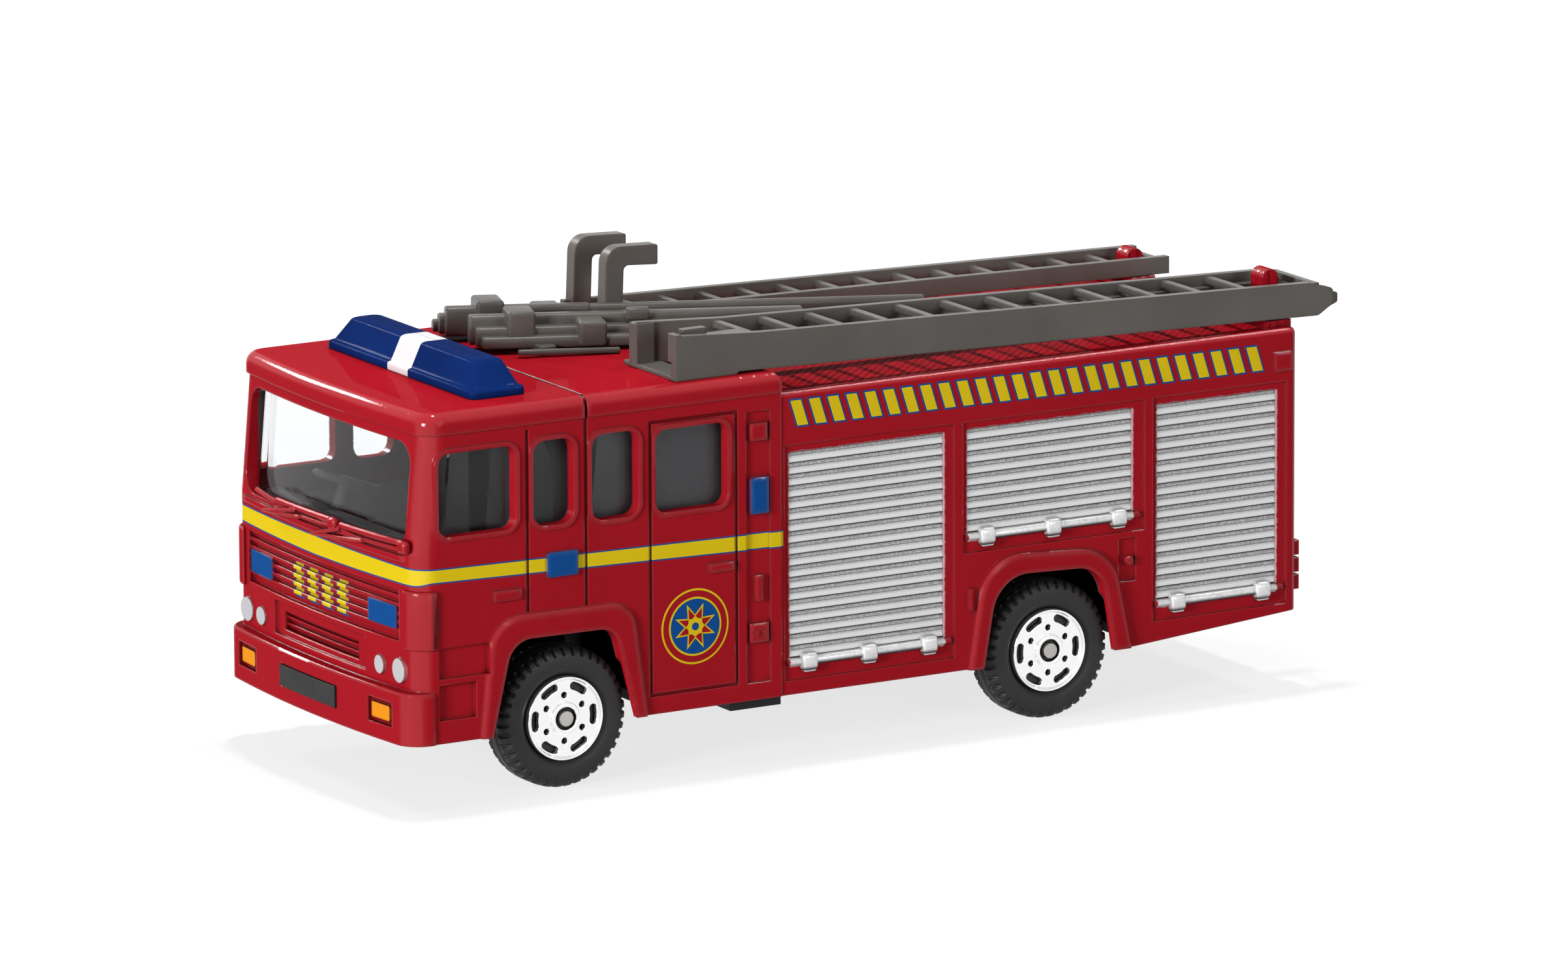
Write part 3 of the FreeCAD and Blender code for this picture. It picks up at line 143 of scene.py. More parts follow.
def new_effect(name, inputs, outputs):
    """An empty shared effect, with its graph, its input sockets and its output node."""
    tree = bpy.data.node_groups.new(name, "ShaderNodeTree")
    for socket, value in inputs.items():
        made = tree.interface.new_socket(name=socket, in_out="INPUT", socket_type="NodeSocketFloat")
        made.default_value = value
    for socket in outputs:
        tree.interface.new_socket(name=socket, in_out="OUTPUT", socket_type="NodeSocketFloat")
    graph = Graph(tree)
    entry = graph.put("NodeGroupInput")
    leave = graph.put("NodeGroupOutput")
    return graph, entry.outputs, leave.inputs

# %% [markdown]
# ## Places in drawing millimetres
#
# A printed stripe lies where the printer's jig puts it, so the finishes are written in the drawing's own
# millimetres. The first shared effect turns Object coordinates into those: forward, left, up, and the
# distance from the middle plane, which is the same for both sides of the toy.

# %% Drawing places
graph, _, out = new_effect("drawing_place", {}, ("Forward", "Left", "Up", "Side"))
x, y, z = graph.split(graph.where())
left = graph.times(y, 1 / MM)
graph.feed(out["Forward"], graph.less(graph.times(x, 1 / MM), DRAWING_SHIFT))
graph.feed(out["Left"], left)
graph.feed(out["Up"], graph.times(z, 1 / MM))
graph.feed(out["Side"], graph.size(left))
print("effect drawing_place:", len(graph.tree.nodes), "nodes")

# %% [markdown]
# ## A patch of print
#
# Most marks on the toy are rectangles with rounded corners. The distance to such a patch is known by
# formula: fold the plane to one quarter, take off the half size less the corner, and measure what is left.
# A narrow smooth step on that distance is an edge as crisp as a screen print, and a wide one is overspray.

# %% The patch mask
PATCH = {"Across": 0.0, "Up": 0.0, "Centre Across": 0.0, "Centre Up": 0.0,
         "Half Across": 1.0, "Half Up": 1.0, "Corner": 0.1, "Blur": 0.03}
graph, got, out = new_effect("print_patch", PATCH, ("Mask",))
overs = []
for axis in ("Across", "Up"):
    away = graph.size(graph.less(got[axis], got["Centre " + axis]))
    overs.append(graph.plus(graph.less(away, got["Half " + axis]), got["Corner"]))
outside = [graph.math("POWER", graph.most(over, 0.0), 2.0) for over in overs]
length = graph.math("SQRT", graph.plus(*outside))
inside = graph.least(graph.most(*overs), 0.0)
distance = graph.less(graph.plus(length, inside), got["Corner"])
graph.feed(out["Mask"], graph.step(distance, graph.times(got["Blur"], -1.0), got["Blur"], 1.0, 0.0))
print("effect print_patch:", len(graph.tree.nodes), "nodes")

# %% [markdown]
# ## Skins
#
# Sprayed enamel is never quite flat: it flows into a fine orange peel, with now and then a speck of dust
# under it. Moulded plastic has a dull grain. Both are noise at the right scale, fed to a Bump node, so they
# are shared effects that put out a height and a change of roughness.

# %% Enamel and mould skins
graph, got, out = new_effect("enamel_skin", {"Peel Size": 1.1, "Speck Size": 0.35}, ("Height", "Dullness"))
place = graph.where()
peel = graph.noise(place, graph.over(1 / MM, got["Peel Size"]), 1.0)
speck = graph.noise(place, graph.over(1 / MM, got["Speck Size"]), 0.0)
graph.feed(out["Height"], graph.line(peel, 0.8, graph.step(speck, 0.80, 0.86)))
graph.feed(out["Dullness"], graph.step(graph.noise(place, 90.0, 3.0), 0.35, 0.7))

graph, got, out = new_effect("mould_skin", {"Grain Size": 0.25}, ("Height", "Dullness", "Flow"))
place = graph.where()
graph.feed(out["Height"], graph.noise(place, graph.over(1 / MM, got["Grain Size"]), 2.0))
graph.feed(out["Dullness"], graph.step(graph.noise(place, 160.0, 3.0), 0.3, 0.7))
graph.feed(out["Flow"], graph.step(graph.noise(place, 60.0, 4.0, 0.6), 0.3, 0.72))
print("effects:", [tree.name for tree in bpy.data.node_groups])

# %% [markdown]
# ## Soft edges
#
# No edge of a casting or a moulding is a mathematical line. The Bevel node rounds the normals near an edge
# by a real radius, which catches the thin highlights that make the toy read as painted metal. Every finish
# starts from the same Principled shader, rounded normal and bump, so one class makes them.


# %% A finish
class Finish(Graph):
    """A material's graph. Its edges are rounded by edge mm, and its skin is bump mm high."""

    def __init__(self, name, skin, edge, bump, **constants):
        self.material = bpy.data.materials.new(name)
        self.material.use_nodes = True
        super().__init__(self.material.node_tree)
        self.shader = self.tree.nodes["Principled BSDF"].inputs
        for socket, value in constants.items():
            self.shader[socket.replace("_", " ")].default_value = value
        self.rounded = self.put("ShaderNodeBevel", samples=4)
        self.rounded.inputs["Radius"].default_value = edge * MM
        self.relief = self.put("ShaderNodeBump")
        self.relief.inputs["Strength"].default_value = 1.0
        self.relief.inputs["Distance"].default_value = bump * MM
        self.skin = self.effect(skin)
        self.feed(self.relief.inputs["Height"], self.skin["Height"])
        self.feed(self.relief.inputs["Normal"], self.rounded.outputs[0])
        for socket in ("Normal", "Coat Normal"):
            self.feed(self.shader[socket], self.relief.outputs[0])

    def paint(self, colour, dull, uneven):
        """The colour, and a roughness of dull + uneven x the skin's dullness."""
        self.feed(self.shader["Base Color"], colour)
        self.feed(self.shader["Roughness"], self.line(dull, uneven, self.skin["Dullness"]))


def dress(material, *names):
    """Gives these nodes of the frame one material."""
    for name in names:
        nodes[name].material_slots[0].material = material
    print(material.name, "on", ", ".join(names))

# %% [markdown]
# ## The casting's paint
#
# The shell is one zinc casting, sprayed red all over. Its shutters are then sprayed silver through a mask,
# whose edges are a little fuzzy, and the stripes, lamps and lamp blocks are pad printed on top. The graph
# follows the same order: red first, then silver, then each print, and every print is a patch in drawing
# millimetres that only counts on the face it was printed on.

# %% Paint colours and printed places
RED = (0.42, 0.009, 0.018, 1.0)
DEEP_RED = (0.37, 0.007, 0.015, 1.0)
SHADED_GROOVE_RED = (0.22, 0.004, 0.008, 1.0)
NOOK_SHADE_RED = (0.05, 0.0015, 0.003, 1.0)
YELLOW = (0.84, 0.62, 0.010, 1.0)
BLUE = (0.006, 0.080, 0.31, 1.0)
ORANGE = (0.95, 0.33, 0.015, 1.0)
LAMP_WHITE = (0.60, 0.59, 0.61, 1.0)
SILVER = (0.66, 0.665, 0.67, 1.0)
SILVER_SHADE = (0.045, 0.042, 0.045, 1.0)
PALE_EDGE_PINK = (0.66, 0.47, 0.50, 1.0)
SHADED_BARE_ZINC = (0.075, 0.075, 0.078, 1.0)
# Centre and half size of each printed rectangle, across and up. The headlamps have a centre and a radius.
SIDE_LAMPS = ((37.55, 25.9, 1.95, 1.4), (12.35, 30.65, 1.15, 2.05))
FRONT_LAMP = (14.0, 21.15, 2.8, 1.3)
INDICATOR = (15.35, 10.45, 1.75, 0.85)
HEADLAMPS = ((17.6, 15.35, 1.36), (13.75, 15.35, 1.03))
# Slat area of each shutter, as its two ends, its lower edge, its count of slats and its clamps
SLAT_TOP = 34.9
SIDE_SHUTTERS = ((-11.8, 8.2, 11.4, 18, (5.86, -1.94, -9.77)), (-36.7, -15.0, 23.0, 9, (-17.4, -26.1, -34.8)),
                 (-56.0, -40.1, 12.3, 17, (-42.7, -54.1)))
REAR_SHUTTER = (-13.4, 13.4, 14.4, 15, (-9.5, 9.5))
SIDE_FACE = 19.85
FRONT_FACE = 54.7
REAR_FACE = -58.1

# %% The casting's material
EDGE_ROUND, LIP_ROUND = 0.30, 0.85
LIP_SIDE = (21.2, 21.3)
COAT_ON_FLAT, COAT_ON_EDGE = 0.05, 0.6
SLIM = 0.05
graph = Finish("red_enamel", "enamel_skin", EDGE_ROUND, 0.006, Coat_Weight=0.07, Coat_Roughness=0.03,
               Specular_IOR_Level=0.0)
casting = graph.material
skin = graph.skin
at = graph.effect("drawing_place")
# The wheel arches' lips are far rounder than the rest, so the rounding grows where the side stands proud.
graph.feed(graph.rounded.inputs["Radius"], graph.step(at["Side"], *LIP_SIDE, EDGE_ROUND * MM, LIP_ROUND * MM))
# White surroundings would haze the flats, so the coat is strong only where the surface turns.
turns = graph.split(graph.rounded.outputs[0])
flatness = graph.size(turns[0])
for turn in turns[1:]:
    flatness = graph.most(flatness, graph.size(turn))
graph.feed(graph.shader["Coat Weight"], graph.step(flatness, 0.985, 0.90, COAT_ON_FLAT, COAT_ON_EDGE))
# Painted shade: deep corners get little light, so ambient occlusion darkens their colour below that of the
# flats beside them.
nook = graph.put("ShaderNodeAmbientOcclusion", samples=6)
nook.inputs["Distance"].default_value = 0.9 * MM
on_side = graph.step(at["Side"], SIDE_FACE - SLIM, SIDE_FACE + SLIM)
on_front = graph.step(at["Forward"], FRONT_FACE - SLIM, FRONT_FACE + SLIM)
on_rear = graph.step(at["Forward"], REAR_FACE + SLIM, REAR_FACE - SLIM)


def patch(*values):
    """Mask of one rounded rectangle of print. The values go to the patch's inputs in their order."""
    return graph.effect("print_patch", **dict(zip(PATCH, values)))["Mask"]


def both(one, other):
    """Where both masks are."""
    return graph.times(one, other)


def either(masks):
    """Where any mask is."""
    total = masks[0]
    for mask in masks[1:]:
        total = graph.most(total, mask)
    return total


place = graph.where()
wobble = graph.times(graph.less(graph.noise(place, 1500.0, 3.0, 0.7), 0.5), 0.5)
shade_speckle = graph.line(0.55, 0.45, graph.step(graph.noise(place, 5200.0, 1.0), 0.36, 0.62))
OVERSPRAY = 0.9
CAP_DROP, CAP_HALF = 0.69, (0.82, 0.98)


def silver_of(across, face, shutter):
    """Masks of one shutter: its silver, the painted shade under each slat's lip, and a pale wavy line along
    one end.
    """
    start, end, bottom, count, clamps = shutter
    tall, middle, half = SLAT_TOP - bottom, (start + end) / 2, (end - start) / 2
    rough_across = graph.plus(across, wobble)
    spray = patch(rough_across, graph.plus(at["Up"], wobble), middle, (bottom - OVERSPRAY + SLAT_TOP) / 2,
                  half + 0.06, (tall + OVERSPRAY) / 2 + 0.05, 0.15, 0.09)
    caps = [patch(across, at["Up"], x, bottom - CAP_DROP, *CAP_HALF, 0.3, 0.06) for x in clamps]
    # Painted shade: a dark line under each slat's lip, a thin line a quarter of the way down, and a speckled
    # shade that fades down from the slat's top.
    turn = graph.math("FRACT", graph.over(graph.less(SLAT_TOP, at["Up"]), tall / count))
    under = graph.step(turn, 0.84, 0.89)
    crease = both(graph.step(turn, 0.25, 0.27), graph.step(turn, 0.34, 0.32, 0.0, 0.8))
    fade = both(graph.step(turn, 0.24, 0.62, 0.58, 0.0), shade_speckle)
    above = graph.step(at["Up"], bottom - 0.05, bottom + 0.1)
    dark = both(both(face, above), both(spray, either([under, crease, fade])))
    ridge = patch(rough_across, at["Up"], start - 0.08, (bottom + SLAT_TOP) / 2, 0.16, tall / 2)
    return both(face, either([spray] + caps)), dark, both(face, both(ridge, 0.75))


found = [silver_of(at["Forward"], on_side, shutter) for shutter in SIDE_SHUTTERS]
found.append(silver_of(at["Left"], on_rear, REAR_SHUTTER))
silver, shade, ridges = (either(masks) for masks in zip(*found))
colour = graph.layer(RED, DEEP_RED, graph.step(skin["Dullness"], 0.0, 1.0, 0.0, 0.35))
colour = graph.layer(colour, graph.layer(SILVER, SILVER_SHADE, shade), silver)
colour = graph.layer(colour, PALE_EDGE_PINK, ridges)
print("silver shutters:", len(found))

# %% [markdown]
# ### Stripe and lamps
#
# The stripe drops a little towards the rear on the sides and is slightly deeper in the middle of the front.
# It is printed blue first and then yellow, a touch narrower, which leaves a thin blue line on each edge.

# %% Stripe, lamps and indicators
STRIPE_START = 9.1
# On the sides: height and its rise forward, half width and its growth forward. On the front: height, half
# width, what the middle adds to that, and how far from the middle the addition ends.
STRIPE_SIDE = (25.3, 0.0213, 1.0, -0.0034)
STRIPE_FRONT = (26.12, 1.02, 0.16, 20.0)
STRIPE_EDGE = 0.17
CRISP = 0.03
CORNER = (53.6, 55.4)
along = graph.less(at["Forward"], STRIPE_START)
side_centre = graph.line(STRIPE_SIDE[0], STRIPE_SIDE[1], along)
side_half = graph.line(STRIPE_SIDE[2], STRIPE_SIDE[3], along)
middle_share = graph.less(1.0, graph.over(at["Side"], STRIPE_FRONT[3]))
front_half = graph.line(STRIPE_FRONT[1], STRIPE_FRONT[2], middle_share)
round_corner = graph.step(at["Forward"], *CORNER)


def blended(side, front):
    """The side's value, turning into the front's round the corner."""
    return graph.plus(graph.times(side, graph.less(1.0, round_corner)), graph.times(front, round_corner))


def printed(where, tone, *masks):
    """The colour so far with one more print where all the masks are."""
    for mask in masks:
        where = both(where, mask)
    return graph.layer(colour, tone, where), where


stripe_away = graph.size(graph.less(at["Up"], blended(side_centre, STRIPE_FRONT[0])))
stripe_left = graph.less(blended(side_half, front_half), stripe_away)
outer_face = either([on_side, graph.step(at["Forward"], CORNER[0], CORNER[0] + 0.2)])
ahead = both(outer_face, graph.step(along, 0.0, SLIM))
colour, blue_band = printed(ahead, BLUE, graph.step(stripe_left, -CRISP, CRISP))
colour, _ = printed(ahead, YELLOW, graph.step(stripe_left, STRIPE_EDGE - CRISP, STRIPE_EDGE + CRISP))
lamp_masks = [both(on_side, patch(at["Forward"], at["Up"], *lamp, 0.25)) for lamp in SIDE_LAMPS]
lamp_masks.append(both(on_front, patch(at["Side"], at["Up"], *FRONT_LAMP, 0.3)))
colour, lamps = printed(either(lamp_masks), BLUE)
colour, orange = printed(on_front, ORANGE, patch(at["Side"], at["Up"], *INDICATOR, 0.2))
round_lamps = [both(on_front, patch(at["Side"], at["Up"], y, z, r, r, r, 0.05)) for y, z, r in HEADLAMPS]
colour, _ = printed(either(round_lamps), LAMP_WHITE)
print("printed lamps:", len(lamp_masks) + 2)

# %% [markdown]
# ### The front's row of bars
#
# Over the grille's ribs stands a plain row of upright yellow bars with blue edges. A remainder folds the
# row, so one bar's formula repeats along it.

# %% Upright bars on the ribbed panel
UPRIGHT_PITCH = 3.4
UPRIGHT_HALF = (0.95, 1.9)
UPRIGHT_UP = 21.2
UPRIGHT_EDGE = 0.2
ROW_HALF = 6.8
raised = graph.less(at["Up"], UPRIGHT_UP)
shifted = graph.plus(at["Left"], 10 * UPRIGHT_PITCH)
folded = graph.less(graph.math("MODULO", shifted, UPRIGHT_PITCH), UPRIGHT_PITCH / 2)
on_row = both(on_front, graph.step(at["Side"], ROW_HALF, ROW_HALF - SLIM))
for tone, grow in ((BLUE, UPRIGHT_EDGE), (YELLOW, 0.0)):
    bar = patch(folded, raised, 0.0, 0.0, UPRIGHT_HALF[0] + grow, UPRIGHT_HALF[1] + grow)
    colour, _ = printed(on_row, tone, bar)
print("bars on the front:", round(2 * ROW_HALF / UPRIGHT_PITCH))

# %% [markdown]
# ### Tread plate on the roof
#
# The roof behind the cab is chequered by fine diagonal lines. Two zigzag waves run at right angles to each
# other, and a groove lies wherever the lower of the two is near zero.

# %% Roof tread, gloss and the shader
TREAD_PITCH = 0.62
TREAD_DEPTH = 6.0
waves = []
for sign in (1.0, -1.0):
    diagonal = graph.line(at["Forward"], sign, at["Left"])
    waves.append(graph.math("PINGPONG", diagonal, TREAD_PITCH))
groove = graph.step(graph.least(*waves), 0.0, 0.3, 1.0, 0.0)
on_roof = both(graph.step(at["Up"], 41.0, 41.1), graph.step(at["Forward"], 7.5, 7.4))
tread = both(groove, both(on_roof, graph.step(at["Side"], 20.2, 20.1)))
# Painted shade: the tread's grooves are darkened as well as sunk by bump.
colour = graph.layer(colour, SHADED_GROOVE_RED, graph.times(tread, 0.7))
height = graph.less(skin["Height"], graph.times(tread, TREAD_DEPTH))
height = graph.line(height, 1.2, both(silver, graph.noise(place, 9000.0, 0.0)))
graph.feed(graph.relief.inputs["Height"], height)
# The shell's inside is bare zinc, darkened as painted shade for the dark inside the shell: behind the walls,
# below the roof and above the skirt.
ceiling = graph.step(at["Forward"], 8.4, 8.6, 40.55, 43.15)
walls = both(graph.step(at["Forward"], 54.1, 53.9), graph.step(at["Up"], 8.0, 8.1))
inside = both(graph.step(at["Side"], 19.92, 19.86), walls)
below = both(graph.math("LESS_THAN", at["Up"], ceiling), graph.step(at["Forward"], -57.75, -57.65))
colour = graph.layer(colour, SHADED_BARE_ZINC, both(inside, below))
# Painted shade: ambient occlusion darkens the colour in deep corners.
colour = graph.layer(colour, NOOK_SHADE_RED, graph.step(nook.outputs["AO"], 0.80, 0.30, 0.0, 0.85))
gloss = graph.line(0.30, 0.05, skin["Dullness"])
for more, mask in ((0.22, silver), (0.06, either([blue_band, lamps, orange]))):
    gloss = graph.line(gloss, more, mask)
graph.feed(graph.shader["Base Color"], colour)
graph.feed(graph.shader["Roughness"], gloss)
graph.feed(graph.shader["Metallic"], graph.times(silver, 0.45))
dress(casting, "body_casting")

# %% [markdown]
# ## Moulded plastics
#
# The ladders, the hoses, the cab moulding and the base have a satin skin. One function gives each its
# colour, how far the colour clouds where the plastic flowed, and its dullness.


# %% Satin plastics
def satin_plastic(name, dark, light, dullness, edge=0.15):
    """Moulded plastic between two near colours, with a grain and slightly uneven dullness."""
    graph = Finish(name, "mould_skin", edge, 0.008, Specular_IOR_Level=0.16)
    graph.paint(graph.layer(dark, light, graph.skin["Flow"]), dullness, 0.10)
    return graph.material


ladder_grey = satin_plastic("roof_grey_plastic", (0.110, 0.101, 0.092, 1.0), (0.140, 0.130, 0.119, 1.0),
                            0.30, 0.3)
hose_grey = satin_plastic("hose_grey_plastic", (0.078, 0.071, 0.064, 1.0), (0.108, 0.100, 0.091, 1.0), 0.27)
cab_grey = satin_plastic("cab_grey_plastic", (0.040, 0.040, 0.042, 1.0), (0.052, 0.051, 0.053, 1.0), 0.45)
base_black = satin_plastic("black_plastic", (0.012, 0.012, 0.013, 1.0), (0.021, 0.021, 0.022, 1.0), 0.38)
dress(ladder_grey, "ladder_extension", "ladder_hook")
dress(cab_grey, "cab_interior")
dress(base_black, "baseplate")

# %% [markdown]
# ## Glazing
#
# The glazing is one clear moulding, a real slab here too, so it only needs a transmitting shader, a trace
# of grey and very fine waves. Its refractive index is set lower than a clear plastic's, so that it bends and
# mirrors less.

# %% Clear plastic
graph = Finish("clear_plastic", "mould_skin", 0.1, 0.0008, Transmission_Weight=1.0, IOR=1.2, Roughness=0.0,
               Specular_IOR_Level=0.03)
clear = graph.layer((0.93, 0.95, 0.96, 1.0), (0.97, 0.98, 0.985, 1.0), graph.skin["Flow"])
graph.feed(graph.shader["Base Color"], clear)
dress(graph.material, "window_glazing")

# %% [markdown]
# ## Steel axle ends
#
# The axle is steel rod cut off flat, so its end is grey, a little mottled and dull.

# %% Axle steel
graph = Finish("axle_steel", "mould_skin", 0.12, 0.02, Metallic=0.85)
graph.paint(graph.layer((0.34, 0.33, 0.31, 1.0), (0.52, 0.51, 0.49, 1.0), graph.skin["Flow"]), 0.38, 0.12)
dress(graph.material, "axle_front", "axle_rear")

# %% [markdown]
# ## Surfaces from arrays
#
# Every new piece below is a surface of two parameters, computed on a whole grid at once. The function here
# turns such a grid into a mesh: `wrap` says which of the two directions close on themselves, and `merge`
# joins the vertices of a pole, where a whole edge of the grid has shrunk to one point.


# %% A grid becomes a mesh
def surface(name, points, wrap=(False, True), merge=False, material=None):
    """Mesh object of a grid of points in mm, shape (rows, columns, 3). Its faces look outwards."""
    rows, columns = points.shape[:2]
    grid = np.arange(rows * columns).reshape(rows, columns)
    if wrap[0]:
        grid = np.vstack([grid, grid[:1]])
    if wrap[1]:
        grid = np.hstack([grid, grid[:, :1]])
    quads = np.stack([grid[:-1, :-1], grid[:-1, 1:], grid[1:, 1:], grid[1:, :-1]], axis=-1).reshape(-1, 4)
    mesh = bpy.data.meshes.new(name)
    mesh.from_pydata((points.reshape(-1, 3) * MM).tolist(), [], quads.tolist())
    piece = bpy.data.objects.new(name, mesh)
    bpy.context.collection.objects.link(piece)
    tidy_mesh(mesh, merge)
    mesh.shade_smooth()
    if material:
        mesh.materials.append(material)
    return piece


def tidy_mesh(mesh, merge):
    """Merges doubles where asked, and turns every face outwards."""
    work = bmesh.new()
    work.from_mesh(mesh)
    if merge:
        bmesh.ops.remove_doubles(work, verts=work.verts, dist=1e-6)
        bmesh.ops.dissolve_degenerate(work, edges=work.edges, dist=1e-7)
    bmesh.ops.recalc_face_normals(work, faces=work.faces)
    work.to_mesh(mesh)
    work.free()
    mesh.update()

def smooth_step(value, low, high):
    """0 below low, 1 above high, with a smooth S between."""
    share = np.clip((value - low) / (high - low), 0.0, 1.0)
    return share * share * (3.0 - 2.0 * share)


def sample_profile(corners, spacing, rounding):
    """Points along a closed profile, its corners rounded by averaging each point with its neighbours."""
    corners = np.array(corners, dtype=float)
    following = np.roll(corners, -1, axis=0)
    runs = []
    for start, end in zip(corners, following):
        steps = max(2, int(np.ceil(np.hypot(*(end - start)) / spacing)))
        share = np.arange(steps)[:, None] / steps
        runs.append(start + (end - start) * share)
    line = np.vstack(runs)
    for _ in range(rounding):
        line = (np.roll(line, 1, axis=0) + 2 * line + np.roll(line, -1, axis=0)) / 4
    return line


# %% [markdown]
# ## Tyres
#
# A toy tyre is a ring with a smooth wall and notches moulded across its shoulders. The ring is a profile
# turned about the axle: each point has a radius and a place along the axle, and the angle carries it round.
# The notches are one product of two steps: near the shoulder, and near one of forty even angles.

# %% Tyre rubber
graph = Finish("tyre_rubber", "mould_skin", 0.05, 0.012, Specular_IOR_Level=0.3)
tone = graph.layer((0.012, 0.012, 0.013, 1.0), (0.020, 0.020, 0.021, 1.0), graph.skin["Flow"])
graph.paint(tone, 0.42, 0.16)
rubber = graph.material

# %% Tyre form
WHEEL_RADIUS = 8.0
HUB_RADIUS = 4.8
TYRE_OUT = 20.2
TYRE_WIDTH = 5.0
NOTCHES = 40
NOTCH_DEPTH, NOTCH_HALF, NOTCH_REACH = 0.28, 0.17, 1.25
RIB_PLACE, RIB_DEPTH = 0.7, 0.16
AXLES = {"front": 36.66 + DRAWING_SHIFT, "rear": -26.15 + DRAWING_SHIFT}


def tyre_profile():
    """Radius and distance inwards from the outer wall: bead, dished wall, shoulder, tread and back."""
    bead = HUB_RADIUS + 0.03
    corners = [(bead, 0.75), (bead + 0.45, 0.28), (bead + 0.8, 0.06), (6.5, 0.0), (7.25, 0.08), (7.75, 0.45),
               (7.98, 1.05), (8.0, 2.0), (8.0, 3.0), (7.98, 3.95), (7.75, 4.55), (7.25, 4.92), (6.5, 5.0),
               (bead, 5.0)]
    return sample_profile(corners, 0.16, 2)


def turned(centre, side, radius, outward, angle):
    """Points (r cos a, y, r sin a) round an axle."""
    radius, outward, angle = np.broadcast_arrays(radius, outward, angle)
    return np.stack([centre + radius * np.cos(angle), side * outward, WHEEL_RADIUS + radius * np.sin(angle)],
                    axis=-1)


def tyre(name, centre, side):
    """The profile turned round the axle, less the notch depth where a notch crosses the shoulder."""
    line = tyre_profile()
    angle = np.linspace(0, 2 * np.pi, NOTCHES * 12, endpoint=False)[:, None]
    radius, inward = line[None, :, 0], line[None, :, 1]
    across = (angle * NOTCHES / (2 * np.pi) + 0.5) % 1.0 - 0.5
    across = np.abs(across) * 2 * np.pi * WHEEL_RADIUS / NOTCHES
    slot = 1.0 - smooth_step(across, NOTCH_HALF, NOTCH_HALF + 0.12)
    from_wall = np.minimum(inward, TYRE_WIDTH - inward)
    near_wall = 1.0 - smooth_step(from_wall, NOTCH_REACH, NOTCH_REACH + 0.15)
    shoulder = smooth_step(radius, 7.05, 7.2) * near_wall
    off_rib = np.abs(np.abs(inward - TYRE_WIDTH / 2) - RIB_PLACE)
    rib = (1.0 - smooth_step(off_rib, 0.06, 0.16)) * (radius > 7.9)
    give = NOTCH_DEPTH * slot * shoulder + RIB_DEPTH * rib
    lean_in = smooth_step(radius, 7.6, 7.2)
    r = radius - give * (1.0 - 0.7 * lean_in)
    y = inward + np.sign(TYRE_WIDTH / 2 - inward) * give * 0.55 * shoulder * slot
    return surface(name, turned(centre, side, r, TYRE_OUT - y, angle), wrap=(True, True), material=rubber)


for end, centre in AXLES.items():
    for word, side in SIDES:
        piece = tyre("moulded_tyre_%s_%s" % (end, word), centre, side)
        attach(piece, "%s_wheelset" % end)
        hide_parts("tyre_%s_%s" % (end, word))
print("tyre triangles:", 2 * len(piece.data.polygons))

# %% [markdown]
# ## Wheel discs
#
# The discs are plastic plated with chrome. Their face is a relief over the polar plane: a boss round the
# axle, six round holes, six oblong slots between them, and a rolled rim. The depth of each opening is a
# smooth step on a distance formula, so its lips come out soft. A point attribute keeps how deep a point is,
# and the material turns black with it as painted shade in the openings, with an edge that noise makes uneven.

# %% Chrome with dark openings
graph = Finish("hub_chrome", "enamel_skin", 0.06, 0.006)
chrome = graph.material
# Painted shade: the openings turn black with their depth, and noise makes the black's edge uneven.
depth = graph.put("ShaderNodeAttribute", attribute_name="opening").outputs["Fac"]
shade_edge_noise = graph.step(graph.noise(graph.where(), 2600.0, 3.0, 0.7), 0.25, 0.75)
deep = graph.step(graph.line(depth, 0.35, graph.less(shade_edge_noise, 0.5)), 0.3, 0.6)
plating = graph.layer((0.90, 0.905, 0.91, 1.0), (0.006, 0.006, 0.007, 1.0), deep)
graph.feed(graph.shader["Base Color"], plating)
graph.feed(graph.shader["Metallic"], graph.less(1.0, deep))
polish = graph.line(0.09, 0.05, graph.skin["Dullness"])
graph.feed(graph.shader["Roughness"], graph.line(polish, 0.4, deep))

# %% Wheel disc form
HUB_FACE = 20.35
HUB_BACK = 17.2
BORE = 0.9
SPOKES = 6
HOLE_RING, HOLE_RADIUS = 2.6, 0.36
SLOT_RING, SLOT_HALF, SLOT_END = 3.72, 0.72, 0.43
OPENING_DEPTH = 0.9
WALL_RUN = 0.10
DISH_DEPTH, CUP_DEPTH, LIP_HEIGHT, RIM_ROUND = 0.35, 0.55, 0.06, 0.30


def opening(radius, angle, turn, ring, half, end):
    """1 inside one of six openings. Distance to a bar bent round the ring, with round ends."""
    sector = 2 * np.pi / SPOKES
    folded = (angle - turn + sector / 2) % sector - sector / 2
    along = np.maximum(np.abs(folded) * ring - half, 0.0)
    return 1.0 - smooth_step(np.hypot(along, radius - ring) - end, -WALL_RUN, 0.04)


def disc_face(radius, angle):
    """Distance inwards of the plated face, and how deep the openings are there."""
    dish = DISH_DEPTH * smooth_step(radius, 1.72, 1.95) * (1.0 - smooth_step(radius, 4.3, 4.55))
    cup = CUP_DEPTH * (1.0 - smooth_step(radius, 1.16, 1.32))
    lip = LIP_HEIGHT * np.exp(-((radius - 1.55) / 0.12) ** 2)
    edge = RIM_ROUND * smooth_step(radius, 4.68, 4.8)
    pits = np.maximum(opening(radius, angle, np.pi / 6, HOLE_RING, 0.0, HOLE_RADIUS),
                      opening(radius, angle, 0.0, SLOT_RING, SLOT_HALF, SLOT_END))
    deep = np.maximum(pits, 1.0 - smooth_step(radius, 1.18, 1.42))
    return LIP_HEIGHT + dish + cup - lip + edge + OPENING_DEPTH * pits, deep


